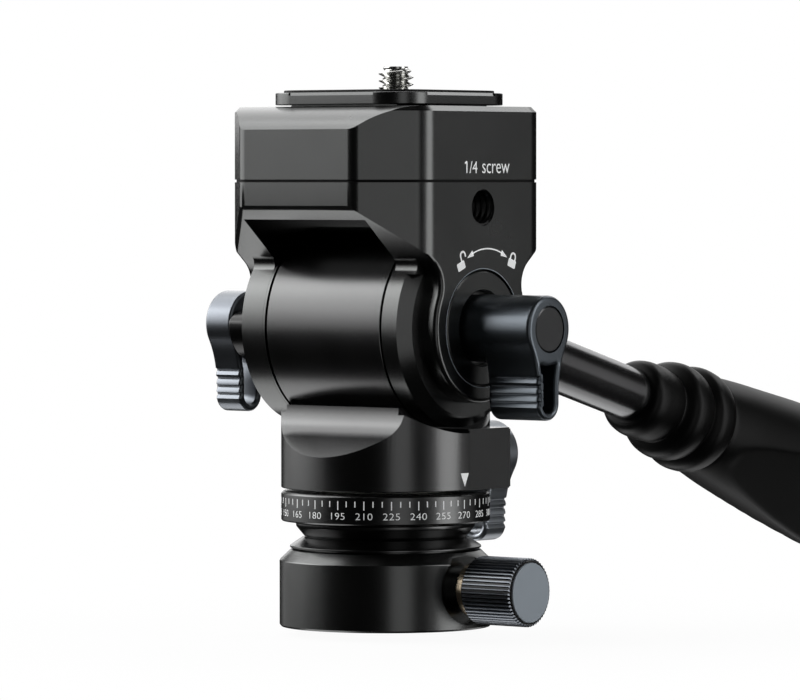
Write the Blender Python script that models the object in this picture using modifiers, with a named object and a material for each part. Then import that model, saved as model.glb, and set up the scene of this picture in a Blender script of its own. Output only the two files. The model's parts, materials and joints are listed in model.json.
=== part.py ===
"""Compact fluid video head: base cup, pan section, tilt yoke, plate clamp, levers and handle.

Metres, +Z up. The origin is the centre of the base cup's underside, where the tripod's screw enters.
-Y is the lens side, +Y the operator's side, +X the side with the tilt lock lever.
The pan axis is Z, and the tilt axis runs along X at TILT_HEIGHT.
"""
import math

import bmesh
import bpy
from mathutils import Vector

# Clearances
TOUCH_GAP = 0.0003
RUN_GAP = 0.0003
OVERRUN = 0.002
WELD = 0.000001

# Facet counts round a full turn
LARGE_STEPS = 36
MEDIUM_STEPS = 28
INNER_STEPS = 20
SMALL_STEPS = 12
CORNER_STEPS = 3
CUTTER_PHASE_SHARE = 0.37

# Base cup and its tripod thread
CUP_RADIUS = 0.0193
CUP_WALL = 0.0038
CUP_WALL_HEIGHT = 0.0120
CUP_CHAMFER_HEIGHT = 0.0020
CUP_CHAMFER_WIDTH = 0.0019
CUP_FLOOR = 0.0045
CUP_EDGE = 0.0003
TRIPOD_THREAD_RADIUS = 0.0047625
INSERT_WALL = 0.0014
INSERT_HEIGHT = 0.0085
BOSS_WALL = 0.0017

# Base clamp: knob, brass washer, screw and the two fixed guide screws
CLAMP_AXIS_HEIGHT = 0.0074
SPOT_FACE_DEPTH = 0.0013
SPOT_FACE_RADIUS = 0.0065
SEAT_RADIUS = 0.0042
SEAT_HEIGHT = 0.0017
WASHER_RADIUS = 0.0055
WASHER_THICKNESS = 0.0015
KNOB_RADIUS = 0.0062
KNOB_LENGTH = 0.0114
KNOB_CHAMFER = 0.0004
KNURL_DEPTH = 0.0003
KNURL_COUNT = 28
KNOB_CAP_RADIUS = 0.0051
KNOB_CAP_THICKNESS = 0.0010
KNOB_CAP_PROUD = 0.0003
CLAMP_SCREW_RADIUS = 0.0020
SCREW_CONE_LENGTH = 0.0012
SCREW_CONE_TIP = 0.0008
GUIDE_COUNT = 2

# Foot, which turns in the cup, and its scale ring
SPIGOT_BORE_GAP = 0.0006
GROOVE_DEPTH = 0.0016
GROOVE_HALF_WIDTH = 0.0026
FLANGE_EDGE_HEIGHT = 0.0004
FLANGE_TAPER_HEIGHT = 0.0015
FLANGE_TAPER_WIDTH = 0.0022
WAIST_STEP = 0.0006
NECK_FLARE_HEIGHT = 0.0020
NECK_FLARE_WIDTH = 0.0017
NECK_TOP_HEIGHT = 0.0007
RING_HEIGHT = 0.0054
RING_WIDTH = 0.0050
RING_CHAMFER = 0.0004
SPINDLE_RADIUS = 0.0050

# Pan housing, its running parts and the pan lock at the back
HOUSING_RADIUS = 0.0190
HOUSING_SEAM = 0.0006
THRUST_WASHER_RADIUS = 0.0120
THRUST_WASHER_THICKNESS = 0.0016
WEB_THICKNESS = 0.0075
BUSH_WALL = 0.0015
SPINDLE_WASHER_RADIUS = 0.0076
SPINDLE_WASHER_THICKNESS = 0.0010
SPINDLE_NUT_RADIUS = 0.0080
SPINDLE_NUT_HEIGHT = 0.0040
SPINDLE_PROUD = 0.0008
SPINDLE_HEADROOM = 0.0018
CHAMBER_GAP = 0.0006
NECK_HALF_DEPTH = 0.0124
NECK_FILLET_RADIUS = 0.0070
SHOULDER_HEIGHT = 0.0061
SHOULDER_SLOPE = math.radians(40)
REAR_BLOCK_HALF_WIDTH = 0.0085
REAR_BLOCK_STANDOUT = 0.0067
REAR_BLOCK_HEIGHT = 0.0101
REAR_BLOCK_CHAMFER = 0.0005
PAN_LOCK_PLACE_SHARE = 0.52
BRAKE_SHOE_LENGTH = 0.0037
LOCK_SCREW_RADIUS = 0.0020

# Tilt barrel, axle and drag discs
BARREL_RADIUS = 0.0180
BARREL_HALF_LENGTH = 0.0132
BARREL_WALL = 0.0057
NECK_SIDE_STEP = 0.0002
AXLE_RADIUS = 0.0040
AXLE_INSET = 0.0018
END_BUSH_THICKNESS = 0.0026
END_BUSH_INSET = 0.0002
STATOR_COUNT = 4
DISC_EDGE_GAP = 0.0006

# Yoke: two arms under an eight-sided block
ARM_SIDE_GAP = 0.0003
ARM_PAD_INSET = 0.0002
ARM_INNER_STEP = 0.0006
ARM_FILLET_RADIUS = 0.0020
ARM_SWEEP_GAP = 0.0010
BOSS_RADIUS = 0.0135
BOSS_FILLET_RADIUS = 0.0050
BOSS_EDGE_ROUND = 0.0009
BLOCK_HALF_WIDTH = 0.0225
BLOCK_HALF_DEPTH = 0.0255
BLOCK_CORNER_CUT = 0.00944
SIDE_CORNER_ROUND = 0.0040
FRONT_CORNER_ROUND = 0.0020
BLOCK_SIDE_HEIGHT = 0.00485
UNDERSIDE_SLOPE = math.radians(40)
FRONT_WALL = 0.0023
POCKET_HEADROOM = 0.00147
BOSS_RISE = 0.0035
SEAM_DEPTH = 0.0008
SEAT_GAP = 0.00005
COVER_MARGIN = 0.0032
COVER_THICKNESS = 0.0015
COVER_HOLE_GAP = 0.00075
SIDE_THREAD_RADIUS = 0.0032
SIDE_THREAD_DEPTH = 0.0068
SIDE_THREAD_DROP = 0.00465

# Clamp body, jaw and release knob
CLAMP_SEAM = 0.00035
CLAMP_HEIGHT = 0.0132
CLAMP_CHAMFER = 0.0009
SCOOP_RADIUS = 0.0140
SCOOP_INSET = 0.0100
POCKET_DEPTH = 0.0040
PLATE_SEAT_GAP = 0.0003
JAW_TOP_INSET = 0.0006
JAW_WIDTH = 0.0039
JAW_TRAVEL = 0.0020
LUG_HALF_DEPTH = 0.0055
LUG_DEPTH = 0.0053
LUG_SETBACK = 0.0005
LUG_POCKET_REACH = 0.0015
RELEASE_SCREW_DROP = 0.0060
RELEASE_KNOB_RADIUS = 0.0055
RELEASE_KNOB_LENGTH = 0.0075
RELEASE_KNURL_COUNT = 24
RELEASE_CAP_RADIUS = 0.0045
BODY_SCREW_RADIUS = 0.0020
BODY_SCREW_HEAD_RADIUS = 0.0035
BODY_SCREW_HEAD_HEIGHT = 0.0035
BODY_SCREW_PITCH_X = 0.0080
BODY_SCREW_PITCH_Y = 0.0085
BODY_SCREW_REACH = 0.0045
BODY_SCREW_BOTTOM = 0.0008

# Quick-release plate, pad and camera screw
PLATE_LIP = 0.00235
PLATE_CORNER_ROUND = 0.0072
PLATE_THICKNESS = 0.0022
PLATE_OFFSET = 0.00085
PLATE_EDGE_CHAMFER = 0.00045
PLATE_CHAMFER_LENGTH = 0.0196
CLAMP_SIDE_WALL = 0.0081
DOVETAIL_TAPER = 0.0020
DOVETAIL_HALF_DEPTH = 0.0130
PAD_INSET = 0.00145
PAD_CORNER_ROUND = 0.0060
PAD_RECESS = 0.0006
PAD_PROUD = 0.00046
CAMERA_THREAD_RADIUS = 0.003175
CAMERA_SCREW_OFFSET = 0.0020
CAMERA_SCREW_PROUD = 0.0044
CAMERA_SCREW_HEAD_RADIUS = 0.0064
CAMERA_SCREW_HEAD_HEIGHT = 0.0018
CAMERA_SCREW_CHAMFER = 0.0006

# Levers: round boss, waisted arm with a slot, three grip grooves on one side
LEVER_BOSS_RADIUS = 0.00605
LEVER_ARM_HALF_WIDTH = 0.0031
LEVER_REACH = 0.0132
LEVER_WAIST_DROP = 0.0110
LEVER_RIM = 0.00135
LEVER_SLOT_START = 0.0063
LEVER_EDGE_CHAMFER = 0.0004
GRIP_GROOVE_START = 0.0101
GRIP_GROOVE_PITCH = 0.00163
GRIP_GROOVE_DEPTH = 0.00045
GRIP_GROOVE_HALF_WIDTH = 0.0004
GRIP_GROOVE_COUNT = 3
LEVER_CAP_RADIUS = 0.0041
LEVER_CAP_THICKNESS = 0.0009
LEVER_SCREW_END = 0.0035
TILT_LEVER_ARM_GAP = 0.0035
TILT_LEVER_ARM_WIDTH = 0.0116
DRAG_HUB_LENGTH = 0.0089
DRAG_LEVER_WIDTH = 0.0062
PAN_LEVER_WIDTH = 0.0060
DRAG_HUB_RADIUS = 0.0070
DRAG_HUB_CROWN = 0.0029
DRAG_HUB_SHOULDER = 0.0006
DRAG_HUB_ROUND = 0.0015
TILT_SCREW_DEPTH = 0.0080

# Handle: socket boss on the right arm, stud, tube and moulded grip
SOCKET_INNER_WALL = 0.0018
HANDLE_DROP = math.radians(15.1)
SOCKET_RADIUS = 0.0056
SOCKET_ROOT = 0.0100
SOCKET_END = 0.0189
STUD_RADIUS = 0.0030
STUD_LENGTH = 0.0160
TUBE_RADIUS = 0.00495
TUBE_LENGTH = 0.0920
GRIP_START = 0.0515
GRIP_LENGTH = 0.1165
GRIP_FLAT_DISTANCE = 0.0098
GRIP_FLAT_DROP = math.radians(37)
GRIP_STEPS = 24

# Grip section table: place along the grip, radius and drop of the section's centre, all in metres
GRIP_MOUTH_RADIUS = 0.0053
GRIP_RIB_RADII = (0.0064, 0.0089, 0.00985)
GRIP_RIB_ENDS = (0.0050, 0.0135, 0.0228)
GRIP_NOTCH_DEPTH = 0.0006
GRIP_BODY_RADIUS = 0.0094
GRIP_BELLY_RADIUS = 0.0137
GRIP_BELLY_PLACE = 0.0760
GRIP_BELLY_DROP = 0.0016
GRIP_END_RADIUS = 0.0120
GRIP_END_ROUND = 0.0060

# Levels up the pan axis, from the origin
CUP_HEIGHT = CUP_WALL_HEIGHT + CUP_CHAMFER_HEIGHT
FLANGE_BOTTOM = CUP_HEIGHT + RUN_GAP
WAIST_LEVEL = FLANGE_BOTTOM + FLANGE_EDGE_HEIGHT + FLANGE_TAPER_HEIGHT
NECK_FLARE_TOP = WAIST_LEVEL + NECK_FLARE_HEIGHT
RING_SHOULDER = NECK_FLARE_TOP + NECK_TOP_HEIGHT
RING_BOTTOM = RING_SHOULDER + TOUCH_GAP
RING_TOP = RING_BOTTOM + RING_HEIGHT
HUB_TOP = RING_TOP - TOUCH_GAP
HOUSING_BOTTOM = RING_TOP + HOUSING_SEAM
THRUST_BOTTOM = HUB_TOP + RUN_GAP
WEB_BOTTOM = THRUST_BOTTOM + THRUST_WASHER_THICKNESS + RUN_GAP
WEB_TOP = WEB_BOTTOM + WEB_THICKNESS
SPINDLE_WASHER_BOTTOM = WEB_TOP + RUN_GAP
SPINDLE_NUT_BOTTOM = SPINDLE_WASHER_BOTTOM + SPINDLE_WASHER_THICKNESS + TOUCH_GAP
SPINDLE_TOP = SPINDLE_NUT_BOTTOM + SPINDLE_NUT_HEIGHT + SPINDLE_PROUD
PAN_LOCK_LEVEL = WEB_BOTTOM + WEB_THICKNESS * PAN_LOCK_PLACE_SHARE

# Radii that fit one piece in another
INSERT_RADIUS = TRIPOD_THREAD_RADIUS + INSERT_WALL
CENTRE_BOSS_RADIUS = INSERT_RADIUS + TOUCH_GAP + BOSS_WALL
CENTRE_BOSS_TOP = INSERT_HEIGHT + TOUCH_GAP
CUP_BORE_RADIUS = CUP_RADIUS - CUP_WALL
SPIGOT_RADIUS = CUP_BORE_RADIUS - RUN_GAP
SPIGOT_BORE_RADIUS = CENTRE_BOSS_RADIUS + SPIGOT_BORE_GAP
FLANGE_RADIUS = CUP_RADIUS - CUP_CHAMFER_WIDTH
WAIST_OUTER_RADIUS = FLANGE_RADIUS - FLANGE_TAPER_WIDTH
WAIST_RADIUS = WAIST_OUTER_RADIUS - WAIST_STEP
NECK_FLARE_RADIUS = WAIST_RADIUS + NECK_FLARE_WIDTH
RING_BORE_RADIUS = HOUSING_RADIUS - RING_WIDTH
HUB_RADIUS = RING_BORE_RADIUS - TOUCH_GAP
SPINDLE_BORE_RADIUS = SPINDLE_RADIUS + RUN_GAP
PAN_BUSH_RADIUS = SPINDLE_BORE_RADIUS + BUSH_WALL
CHAMBER_RADIUS = SPINDLE_NUT_RADIUS + CHAMBER_GAP
LOCK_BORE_RADIUS = LOCK_SCREW_RADIUS + RUN_GAP
BARREL_BORE_RADIUS = BARREL_RADIUS - BARREL_WALL
AXLE_BORE_RADIUS = AXLE_RADIUS + RUN_GAP
TILT_HEIGHT = SPINDLE_TOP + SPINDLE_HEADROOM + BARREL_BORE_RADIUS
CLAMP_BORE_RADIUS = CLAMP_SCREW_RADIUS + RUN_GAP

# Places along the tilt axis, from the pan axis
ARM_RADIUS = BARREL_RADIUS
ARM_INNER_FACE = BARREL_HALF_LENGTH + ARM_SIDE_GAP
ARM_SLAB_HALF_WIDTH = BLOCK_HALF_WIDTH - BOSS_RISE
POCKET_HALF_WIDTH = ARM_INNER_FACE + ARM_INNER_STEP
COVER_RADIUS = BOSS_RADIUS - COVER_MARGIN
COVER_HOLE_RADIUS = LEVER_BOSS_RADIUS + COVER_HOLE_GAP
COVER_FLOOR = BLOCK_HALF_WIDTH - COVER_THICKNESS - TOUCH_GAP
AXLE_HALF_LENGTH = BLOCK_HALF_WIDTH - AXLE_INSET - TOUCH_GAP
END_BUSH_OUTER = BARREL_HALF_LENGTH - END_BUSH_INSET
END_BUSH_INNER = END_BUSH_OUTER - END_BUSH_THICKNESS
TILT_LEVER_BACK = COVER_FLOOR + RUN_GAP
TILT_LEVER_ARM_BACK = BLOCK_HALF_WIDTH + TILT_LEVER_ARM_GAP
TILT_LEVER_FACE = TILT_LEVER_ARM_BACK + TILT_LEVER_ARM_WIDTH
DRAG_HUB_BACK = BLOCK_HALF_WIDTH + TOUCH_GAP
DRAG_LEVER_BACK = DRAG_HUB_BACK + DRAG_HUB_LENGTH + RUN_GAP
DRAG_LEVER_FACE = DRAG_LEVER_BACK + DRAG_LEVER_WIDTH
REAR_BLOCK_REACH = HOUSING_RADIUS + REAR_BLOCK_STANDOUT
PAN_LEVER_BACK = REAR_BLOCK_REACH + RUN_GAP

# Places up the clamp, from the tilt axis
POCKET_CEILING = BARREL_RADIUS + POCKET_HEADROOM
BLOCK_UNDERSIDE = POCKET_CEILING + FRONT_WALL * math.tan(UNDERSIDE_SLOPE)
YOKE_TOP = BLOCK_UNDERSIDE + BLOCK_SIDE_HEIGHT
SIDE_THREAD_HEIGHT = YOKE_TOP - SIDE_THREAD_DROP
CLAMP_BOTTOM = YOKE_TOP + CLAMP_SEAM
CLAMP_TOP = CLAMP_BOTTOM + CLAMP_HEIGHT
POCKET_FLOOR = CLAMP_TOP - POCKET_DEPTH
PLATE_BOTTOM = CLAMP_TOP + PLATE_SEAT_GAP
PLATE_TOP = PLATE_BOTTOM + PLATE_THICKNESS
PAD_FLOOR = PLATE_TOP - PAD_RECESS
PAD_BOTTOM = PAD_FLOOR + TOUCH_GAP
PAD_TOP = PLATE_TOP + PAD_PROUD
DOVETAIL_HALF_WIDTH = BLOCK_HALF_WIDTH - CLAMP_SIDE_WALL
PLATE_HALF_WIDTH = DOVETAIL_HALF_WIDTH + PLATE_LIP
PAD_HALF_WIDTH = PLATE_HALF_WIDTH - PAD_INSET
DOVETAIL_BOTTOM = POCKET_FLOOR + RUN_GAP
RELEASE_LEVEL = CLAMP_TOP - RELEASE_SCREW_DROP
JAW_TOP = CLAMP_TOP - JAW_TOP_INSET
LUG_BOTTOM = POCKET_FLOOR - LUG_DEPTH
TUBE_START = SOCKET_END + TOUCH_GAP
HANDLE_OFFSET = ARM_INNER_FACE + SOCKET_INNER_WALL + STUD_RADIUS

# Finishes: base colour, roughness, metallic
BLACK_ANODISED = ((0.022, 0.022, 0.023), 0.42, 0.6)
BLUE_BLACK_METAL = ((0.045, 0.055, 0.070), 0.30, 0.8)
SILVER_METAL = ((0.42, 0.44, 0.47), 0.32, 0.9)
CAP_GREY = ((0.20, 0.21, 0.22), 0.45, 0.4)
BRIGHT_STEEL = ((0.62, 0.62, 0.60), 0.25, 1.0)
DARK_CHROME = ((0.10, 0.10, 0.11), 0.18, 1.0)
BRASS = ((0.66, 0.55, 0.36), 0.30, 1.0)
BRONZE = ((0.45, 0.30, 0.16), 0.40, 1.0)
BLACK_RUBBER = ((0.018, 0.018, 0.019), 0.62, 0.0)
PAD_RUBBER = ((0.012, 0.012, 0.012), 0.80, 0.0)
PALE_POLYMER = ((0.70, 0.70, 0.66), 0.50, 0.0)

# Directions: which way a piece's own Z axis points
UP = (0.0, 0.0, 0.0)
RIGHTWARD = (0.0, math.pi / 2, 0.0)
LEFTWARD = (0.0, -math.pi / 2, 0.0)
BACKWARD = (-math.pi / 2, 0.0, 0.0)
SIDE_ON = (math.pi / 2, 0.0, math.pi / 2)
FACING_RIGHT = SIDE_ON
FACING_LEFT = (math.pi / 2, 0.0, -math.pi / 2)
FACING_BACK = (math.pi / 2, 0.0, math.pi)
FACING_FRONT = (math.pi / 2, 0.0, 0.0)

PARTS_NAME = "fluid_video_head"
CUTTERS_NAME = "cutters"


def clear_scene():
    """Removes every object and gives back two fresh collections, for parts and for cutters."""
    for old in list(bpy.data.objects):
        bpy.data.objects.remove(old, do_unlink=True)
    collections = []
    for name in (PARTS_NAME, CUTTERS_NAME):
        group = bpy.data.collections.new(name)
        bpy.context.scene.collection.children.link(group)
        collections.append(group)
    return collections


def add_axis(name, parent=None, location=(0, 0, 0), rotation=(0, 0, 0)):
    """An empty on a joint's axis, which carries the pieces that turn about it."""
    empty = bpy.data.objects.new(name, None)
    bpy.data.collections[PARTS_NAME].objects.link(empty)
    empty.parent = parent
    empty.location = location
    empty.rotation_euler = rotation
    return empty


def add_mesh_object(name, mesh, collection):
    """Links a mesh as an object in one of the two collections."""
    piece = bpy.data.objects.new(name, mesh)
    bpy.data.collections[collection].objects.link(piece)
    return piece


def finish_piece(piece, finish):
    """Gives a piece its own Principled material."""
    colour, roughness, metallic = finish
    material = bpy.data.materials.new(piece.name + "_finish")
    material.use_nodes = True
    shader = material.node_tree.nodes["Principled BSDF"]
    shader.inputs["Base Color"].default_value = (*colour, 1.0)
    shader.inputs["Roughness"].default_value = roughness
    shader.inputs["Metallic"].default_value = metallic
    piece.data.materials.append(material)


def settle(piece, parent, location, rotation, finish):
    """Places a piece under its axis; a piece with no finish is a cutter."""
    piece.parent = parent
    piece.location = location
    piece.rotation_euler = rotation
    if finish is None:
        piece.hide_render = True
        piece.display_type = "WIRE"
    else:
        finish_piece(piece, finish)
    return piece


def collection_for(finish):
    """Cutters, which have no finish, stay out of the parts' collection."""
    return CUTTERS_NAME if finish is None else PARTS_NAME


def turned(name, profile, parent, location=(0, 0, 0), rotation=UP, finish=None,
           steps=MEDIUM_STEPS, ring=False):
    """Turns a profile of (radius, height) points about the piece's Z axis.

    The profile runs down the outer side, top to bottom; a ring's profile closes on itself.
    A cutter starts part of a facet round, so that its corners miss those of the piece it cuts.
    """
    build = bmesh.new()
    start = math.pi / steps * CUTTER_PHASE_SHARE if finish is None else 0.0
    across, along = math.cos(start), math.sin(start)
    corners = [build.verts.new((radius * across, radius * along, height)) for radius, height in profile]
    for start, end in zip(corners, corners[1:]):
        build.edges.new((start, end))
    if ring:
        build.edges.new((corners[-1], corners[0]))
    mesh = bpy.data.meshes.new(name)
    build.to_mesh(mesh)
    build.free()
    piece = add_mesh_object(name, mesh, collection_for(finish))
    screw = piece.modifiers.new("turn", "SCREW")
    screw.axis = "Z"
    screw.steps = steps
    screw.render_steps = steps
    screw.use_merge_vertices = True
    screw.merge_threshold = WELD
    screw.use_smooth_shade = True
    return settle(piece, parent, location, rotation, finish)


def disc_profile(radius, bottom, top, chamfer=0.0):
    """Outer side of a plain round piece, with both rims chamfered when asked."""
    if chamfer:
        return [(0, top), (radius - chamfer, top), (radius, top - chamfer),
                (radius, bottom + chamfer), (radius - chamfer, bottom), (0, bottom)]
    return [(0, top), (radius, top), (radius, bottom), (0, bottom)]


def ring_profile(outer, inner, bottom, top):
    """A plain ring's section, down its outer side and up its bore."""
    return [(outer, top), (outer, bottom), (inner, bottom), (inner, top)]


def stepped_profile(*steps):
    """Outer side of a stepped cutter, from (radius, bottom, top) steps listed top to bottom."""
    profile = [(0, steps[0][2])]
    for radius, bottom, top in steps:
        profile += [(radius, top), (radius, bottom)]
    return profile + [(0, steps[-1][1])]


def cutter_disc(name, radius, bottom, top, parent, location=(0, 0, 0), rotation=UP, steps=SMALL_STEPS):
    """A round cutter along the piece's Z axis."""
    return turned(name, disc_profile(radius, bottom, top), parent, location, rotation, None, steps)


def box(name, low, high, parent, location=(0, 0, 0), rotation=(0, 0, 0), finish=None, chamfer=0.0):
    """A box between two corners, with chamfered edges when asked."""
    build = bmesh.new()
    bmesh.ops.create_cube(build, size=1.0)
    low, high = Vector(low), Vector(high)
    middle, span = (low + high) / 2, high - low
    for vertex in build.verts:
        vertex.co = middle + Vector(a * b for a, b in zip(vertex.co, span))
    if chamfer:
        bmesh.ops.bevel(build, geom=build.edges[:], offset=chamfer, segments=1, affect="EDGES")
    mesh = bpy.data.meshes.new(name)
    build.to_mesh(mesh)
    build.free()
    piece = add_mesh_object(name, mesh, collection_for(finish))
    return settle(piece, parent, location, rotation, finish)


def slab(name, outlines, low, high, parent, location=(0, 0, 0), rotation=UP, finish=None,
         edge=0.0, edge_steps=0):
    """A flat outline extruded along the piece's Z axis, with chamfered or rounded rims when asked.

    The first outline is the outside and the rest are holes.
    """
    curve = bpy.data.curves.new(name, "CURVE")
    curve.dimensions = "2D"
    curve.fill_mode = "BOTH"
    for outline in outlines:
        spline = curve.splines.new("POLY")
        spline.points.add(len(outline) - 1)
        for point, (x, y) in zip(spline.points, outline):
            point.co = (x, y, 0.0, 1.0)
        spline.use_cyclic_u = True
    curve.extrude = (high - low) / 2 - edge
    if edge:
        curve.bevel_depth = edge
        curve.bevel_resolution = edge_steps
        curve.offset = -edge
    drawn = bpy.data.objects.new(name + "_outline", curve)
    bpy.context.scene.collection.objects.link(drawn)
    bpy.context.view_layer.update()
    graph = bpy.context.evaluated_depsgraph_get()
    mesh = bpy.data.meshes.new_from_object(drawn.evaluated_get(graph))
    bpy.data.objects.remove(drawn, do_unlink=True)
    build = bmesh.new()
    build.from_mesh(mesh)
    bmesh.ops.remove_doubles(build, verts=build.verts, dist=WELD)
    bmesh.ops.translate(build, verts=build.verts, vec=(0, 0, (low + high) / 2))
    bmesh.ops.recalc_face_normals(build, faces=build.faces)
    build.to_mesh(mesh)
    build.free()
    mesh.name = name
    piece = add_mesh_object(name, mesh, collection_for(finish))
    piece.data.shade_smooth()
    piece.data.set_sharp_from_angle(angle=math.radians(35))
    return settle(piece, parent, location, rotation, finish)


def boolean(piece, operation, *others):
    """Adds one exact Boolean for each tool, in order."""
    for other in others:
        change = piece.modifiers.new(operation.lower() + "_" + other.name, "BOOLEAN")
        change.operation = operation
        change.solver = "EXACT"
        change.object = other
    return piece


def cut(piece, *cutters):
    """Takes each cutter away from the piece."""
    return boolean(piece, "DIFFERENCE", *cutters)


def join(piece, *lumps):
    """Makes each lump part of the piece."""
    return boolean(piece, "UNION", *lumps)


def keep_inside(piece, *envelopes):
    """Keeps only what lies inside each envelope."""
    return boolean(piece, "INTERSECT", *envelopes)


def arc(centre, radius, start, end, steps):
    """Points along an arc, both ends included; angles in radians, anticlockwise when end > start."""
    x, y = centre
    angles = [start + (end - start) * i / steps for i in range(steps + 1)]
    return [(x + radius * math.cos(a), y + radius * math.sin(a)) for a in angles]


def rounded_outline(corners, steps=CORNER_STEPS):
    """A closed outline from (x, y, radius) corners, each corner rounded by its radius."""
    outline = []
    count = len(corners)
    for index, (x, y, radius) in enumerate(corners):
        here = Vector((x, y))
        if not radius:
            outline.append((x, y))
            continue
        before = (Vector(corners[index - 1][:2]) - here).normalized()
        after = (Vector(corners[(index + 1) % count][:2]) - here).normalized()
        half = before.angle(after) / 2
        middle = here + (before + after).normalized() * (radius / math.sin(half))
        first = here + before * (radius / math.tan(half)) - middle
        last = here + after * (radius / math.tan(half)) - middle
        turn = first.angle_signed(last)
        begin = math.atan2(first.y, first.x)
        outline += arc(middle, radius, begin, begin - turn, steps)
    return outline


def mirrored_outline(half):
    """Closes an outline from its right half, which starts and ends near x = 0."""
    return half + [(-x, y) for x, y in reversed(half) if x > WELD]


def base_cup(root):
    """Turned cup with a centre boss for the tripod insert and a spot face for the clamp knob."""
    bore = CUP_BORE_RADIUS
    profile = [
        (bore, CUP_HEIGHT), (FLANGE_RADIUS, CUP_HEIGHT), (CUP_RADIUS, CUP_WALL_HEIGHT),
        (CUP_RADIUS, CUP_EDGE), (CUP_RADIUS - CUP_EDGE, 0.0), (INSERT_RADIUS + TOUCH_GAP, 0.0),
        (INSERT_RADIUS + TOUCH_GAP, CENTRE_BOSS_TOP), (CENTRE_BOSS_RADIUS, CENTRE_BOSS_TOP),
        (CENTRE_BOSS_RADIUS, CUP_FLOOR), (bore, CUP_FLOOR),
    ]
    cup = turned("base_cup", profile, root, finish=BLACK_ANODISED, steps=LARGE_STEPS, ring=True)
    axis = (0, 0, CLAMP_AXIS_HEIGHT)
    face = CUP_RADIUS - SPOT_FACE_DEPTH
    spot = turned("spot_face_cutter",
                  ring_profile(SPOT_FACE_RADIUS, SEAT_RADIUS, face, CUP_RADIUS + OVERRUN),
                  root, axis, RIGHTWARD, None, MEDIUM_STEPS, ring=True)
    trim = cutter_disc("seat_trim_cutter", SPOT_FACE_RADIUS, face + SEAT_HEIGHT,
                       CUP_RADIUS + OVERRUN, root, axis, RIGHTWARD)
    bore_cut = cutter_disc("clamp_bore_cutter", CLAMP_BORE_RADIUS, CENTRE_BOSS_RADIUS + RUN_GAP,
                           CUP_RADIUS + OVERRUN, root, axis, RIGHTWARD)
    seat = turned("seat_lump", disc_profile(SEAT_RADIUS, face - OVERRUN, face + SEAT_HEIGHT),
                  root, axis, RIGHTWARD, None, MEDIUM_STEPS)
    cut(cup, spot, trim)
    join(cup, seat)
    cut(cup, bore_cut)
    for index in range(GUIDE_COUNT):
        turn = math.tau * (index + 1) / (GUIDE_COUNT + 1)
        cut(cup, cutter_disc(f"guide_bore_cutter_{index + 1}", CLAMP_BORE_RADIUS,
                             SPIGOT_RADIUS - GROOVE_DEPTH, CUP_RADIUS + OVERRUN, root, axis,
                             (0, math.pi / 2, turn)))
    return cup


def tripod_insert(root):
    """Steel bush with the tripod's thread bore."""
    profile = ring_profile(INSERT_RADIUS, TRIPOD_THREAD_RADIUS, CUP_EDGE, INSERT_HEIGHT)
    return turned("tripod_insert", profile, root, finish=BRIGHT_STEEL, steps=INNER_STEPS, ring=True)


def cone_screw_profile(reach, length, radius):
    """A screw from its cone tip at reach to its plain end."""
    return [(0, reach + length), (radius, reach + length), (radius, reach + SCREW_CONE_LENGTH),
            (SCREW_CONE_TIP, reach), (0, reach)]


def guide_screws(root):
    """Two fixed screws whose cone tips hold the foot down."""
    reach = SPIGOT_RADIUS - GROOVE_DEPTH + RUN_GAP
    length = CUP_RADIUS - TOUCH_GAP - reach
    for index in range(GUIDE_COUNT):
        turn = math.tau * (index + 1) / (GUIDE_COUNT + 1)
        turned(f"guide_screw_{index + 1}", cone_screw_profile(reach, length, CLAMP_SCREW_RADIUS), root,
               (0, 0, CLAMP_AXIS_HEIGHT), (0, math.pi / 2, turn), BRIGHT_STEEL, SMALL_STEPS)


def knurled_knob(name, parent, radius, length, count, cap_radius, steps=SMALL_STEPS):
    """A straight-knurled knob along Z from its back at 0, with a blind bore and a cap recess."""
    flutes = []
    for index in range(2 * count):
        turn = math.pi * index / count
        reach = radius - KNURL_DEPTH * (index % 2)
        flutes.append((reach * math.cos(turn), reach * math.sin(turn)))
    knob = slab(name, [flutes], 0.0, length, parent, finish=BLUE_BLACK_METAL, edge=KNOB_CHAMFER)
    floor = length - KNOB_CAP_THICKNESS - TOUCH_GAP
    recess = cutter_disc(name + "_cap_cutter", cap_radius + TOUCH_GAP, floor, length + OVERRUN,
                         parent, steps=MEDIUM_STEPS)
    bore = cutter_disc(name + "_bore_cutter", CLAMP_BORE_RADIUS, -OVERRUN, floor - KNOB_CAP_THICKNESS,
                       parent, steps=steps)
    cut(knob, recess, bore)
    return knob


def round_cap(name, parent, radius, floor, top, finish=CAP_GREY):
    """A thin round cap that fills a recess in a knob or lever."""
    return turned(name, disc_profile(radius, floor + TOUCH_GAP, top), parent, finish=finish,
                  steps=INNER_STEPS)


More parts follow.
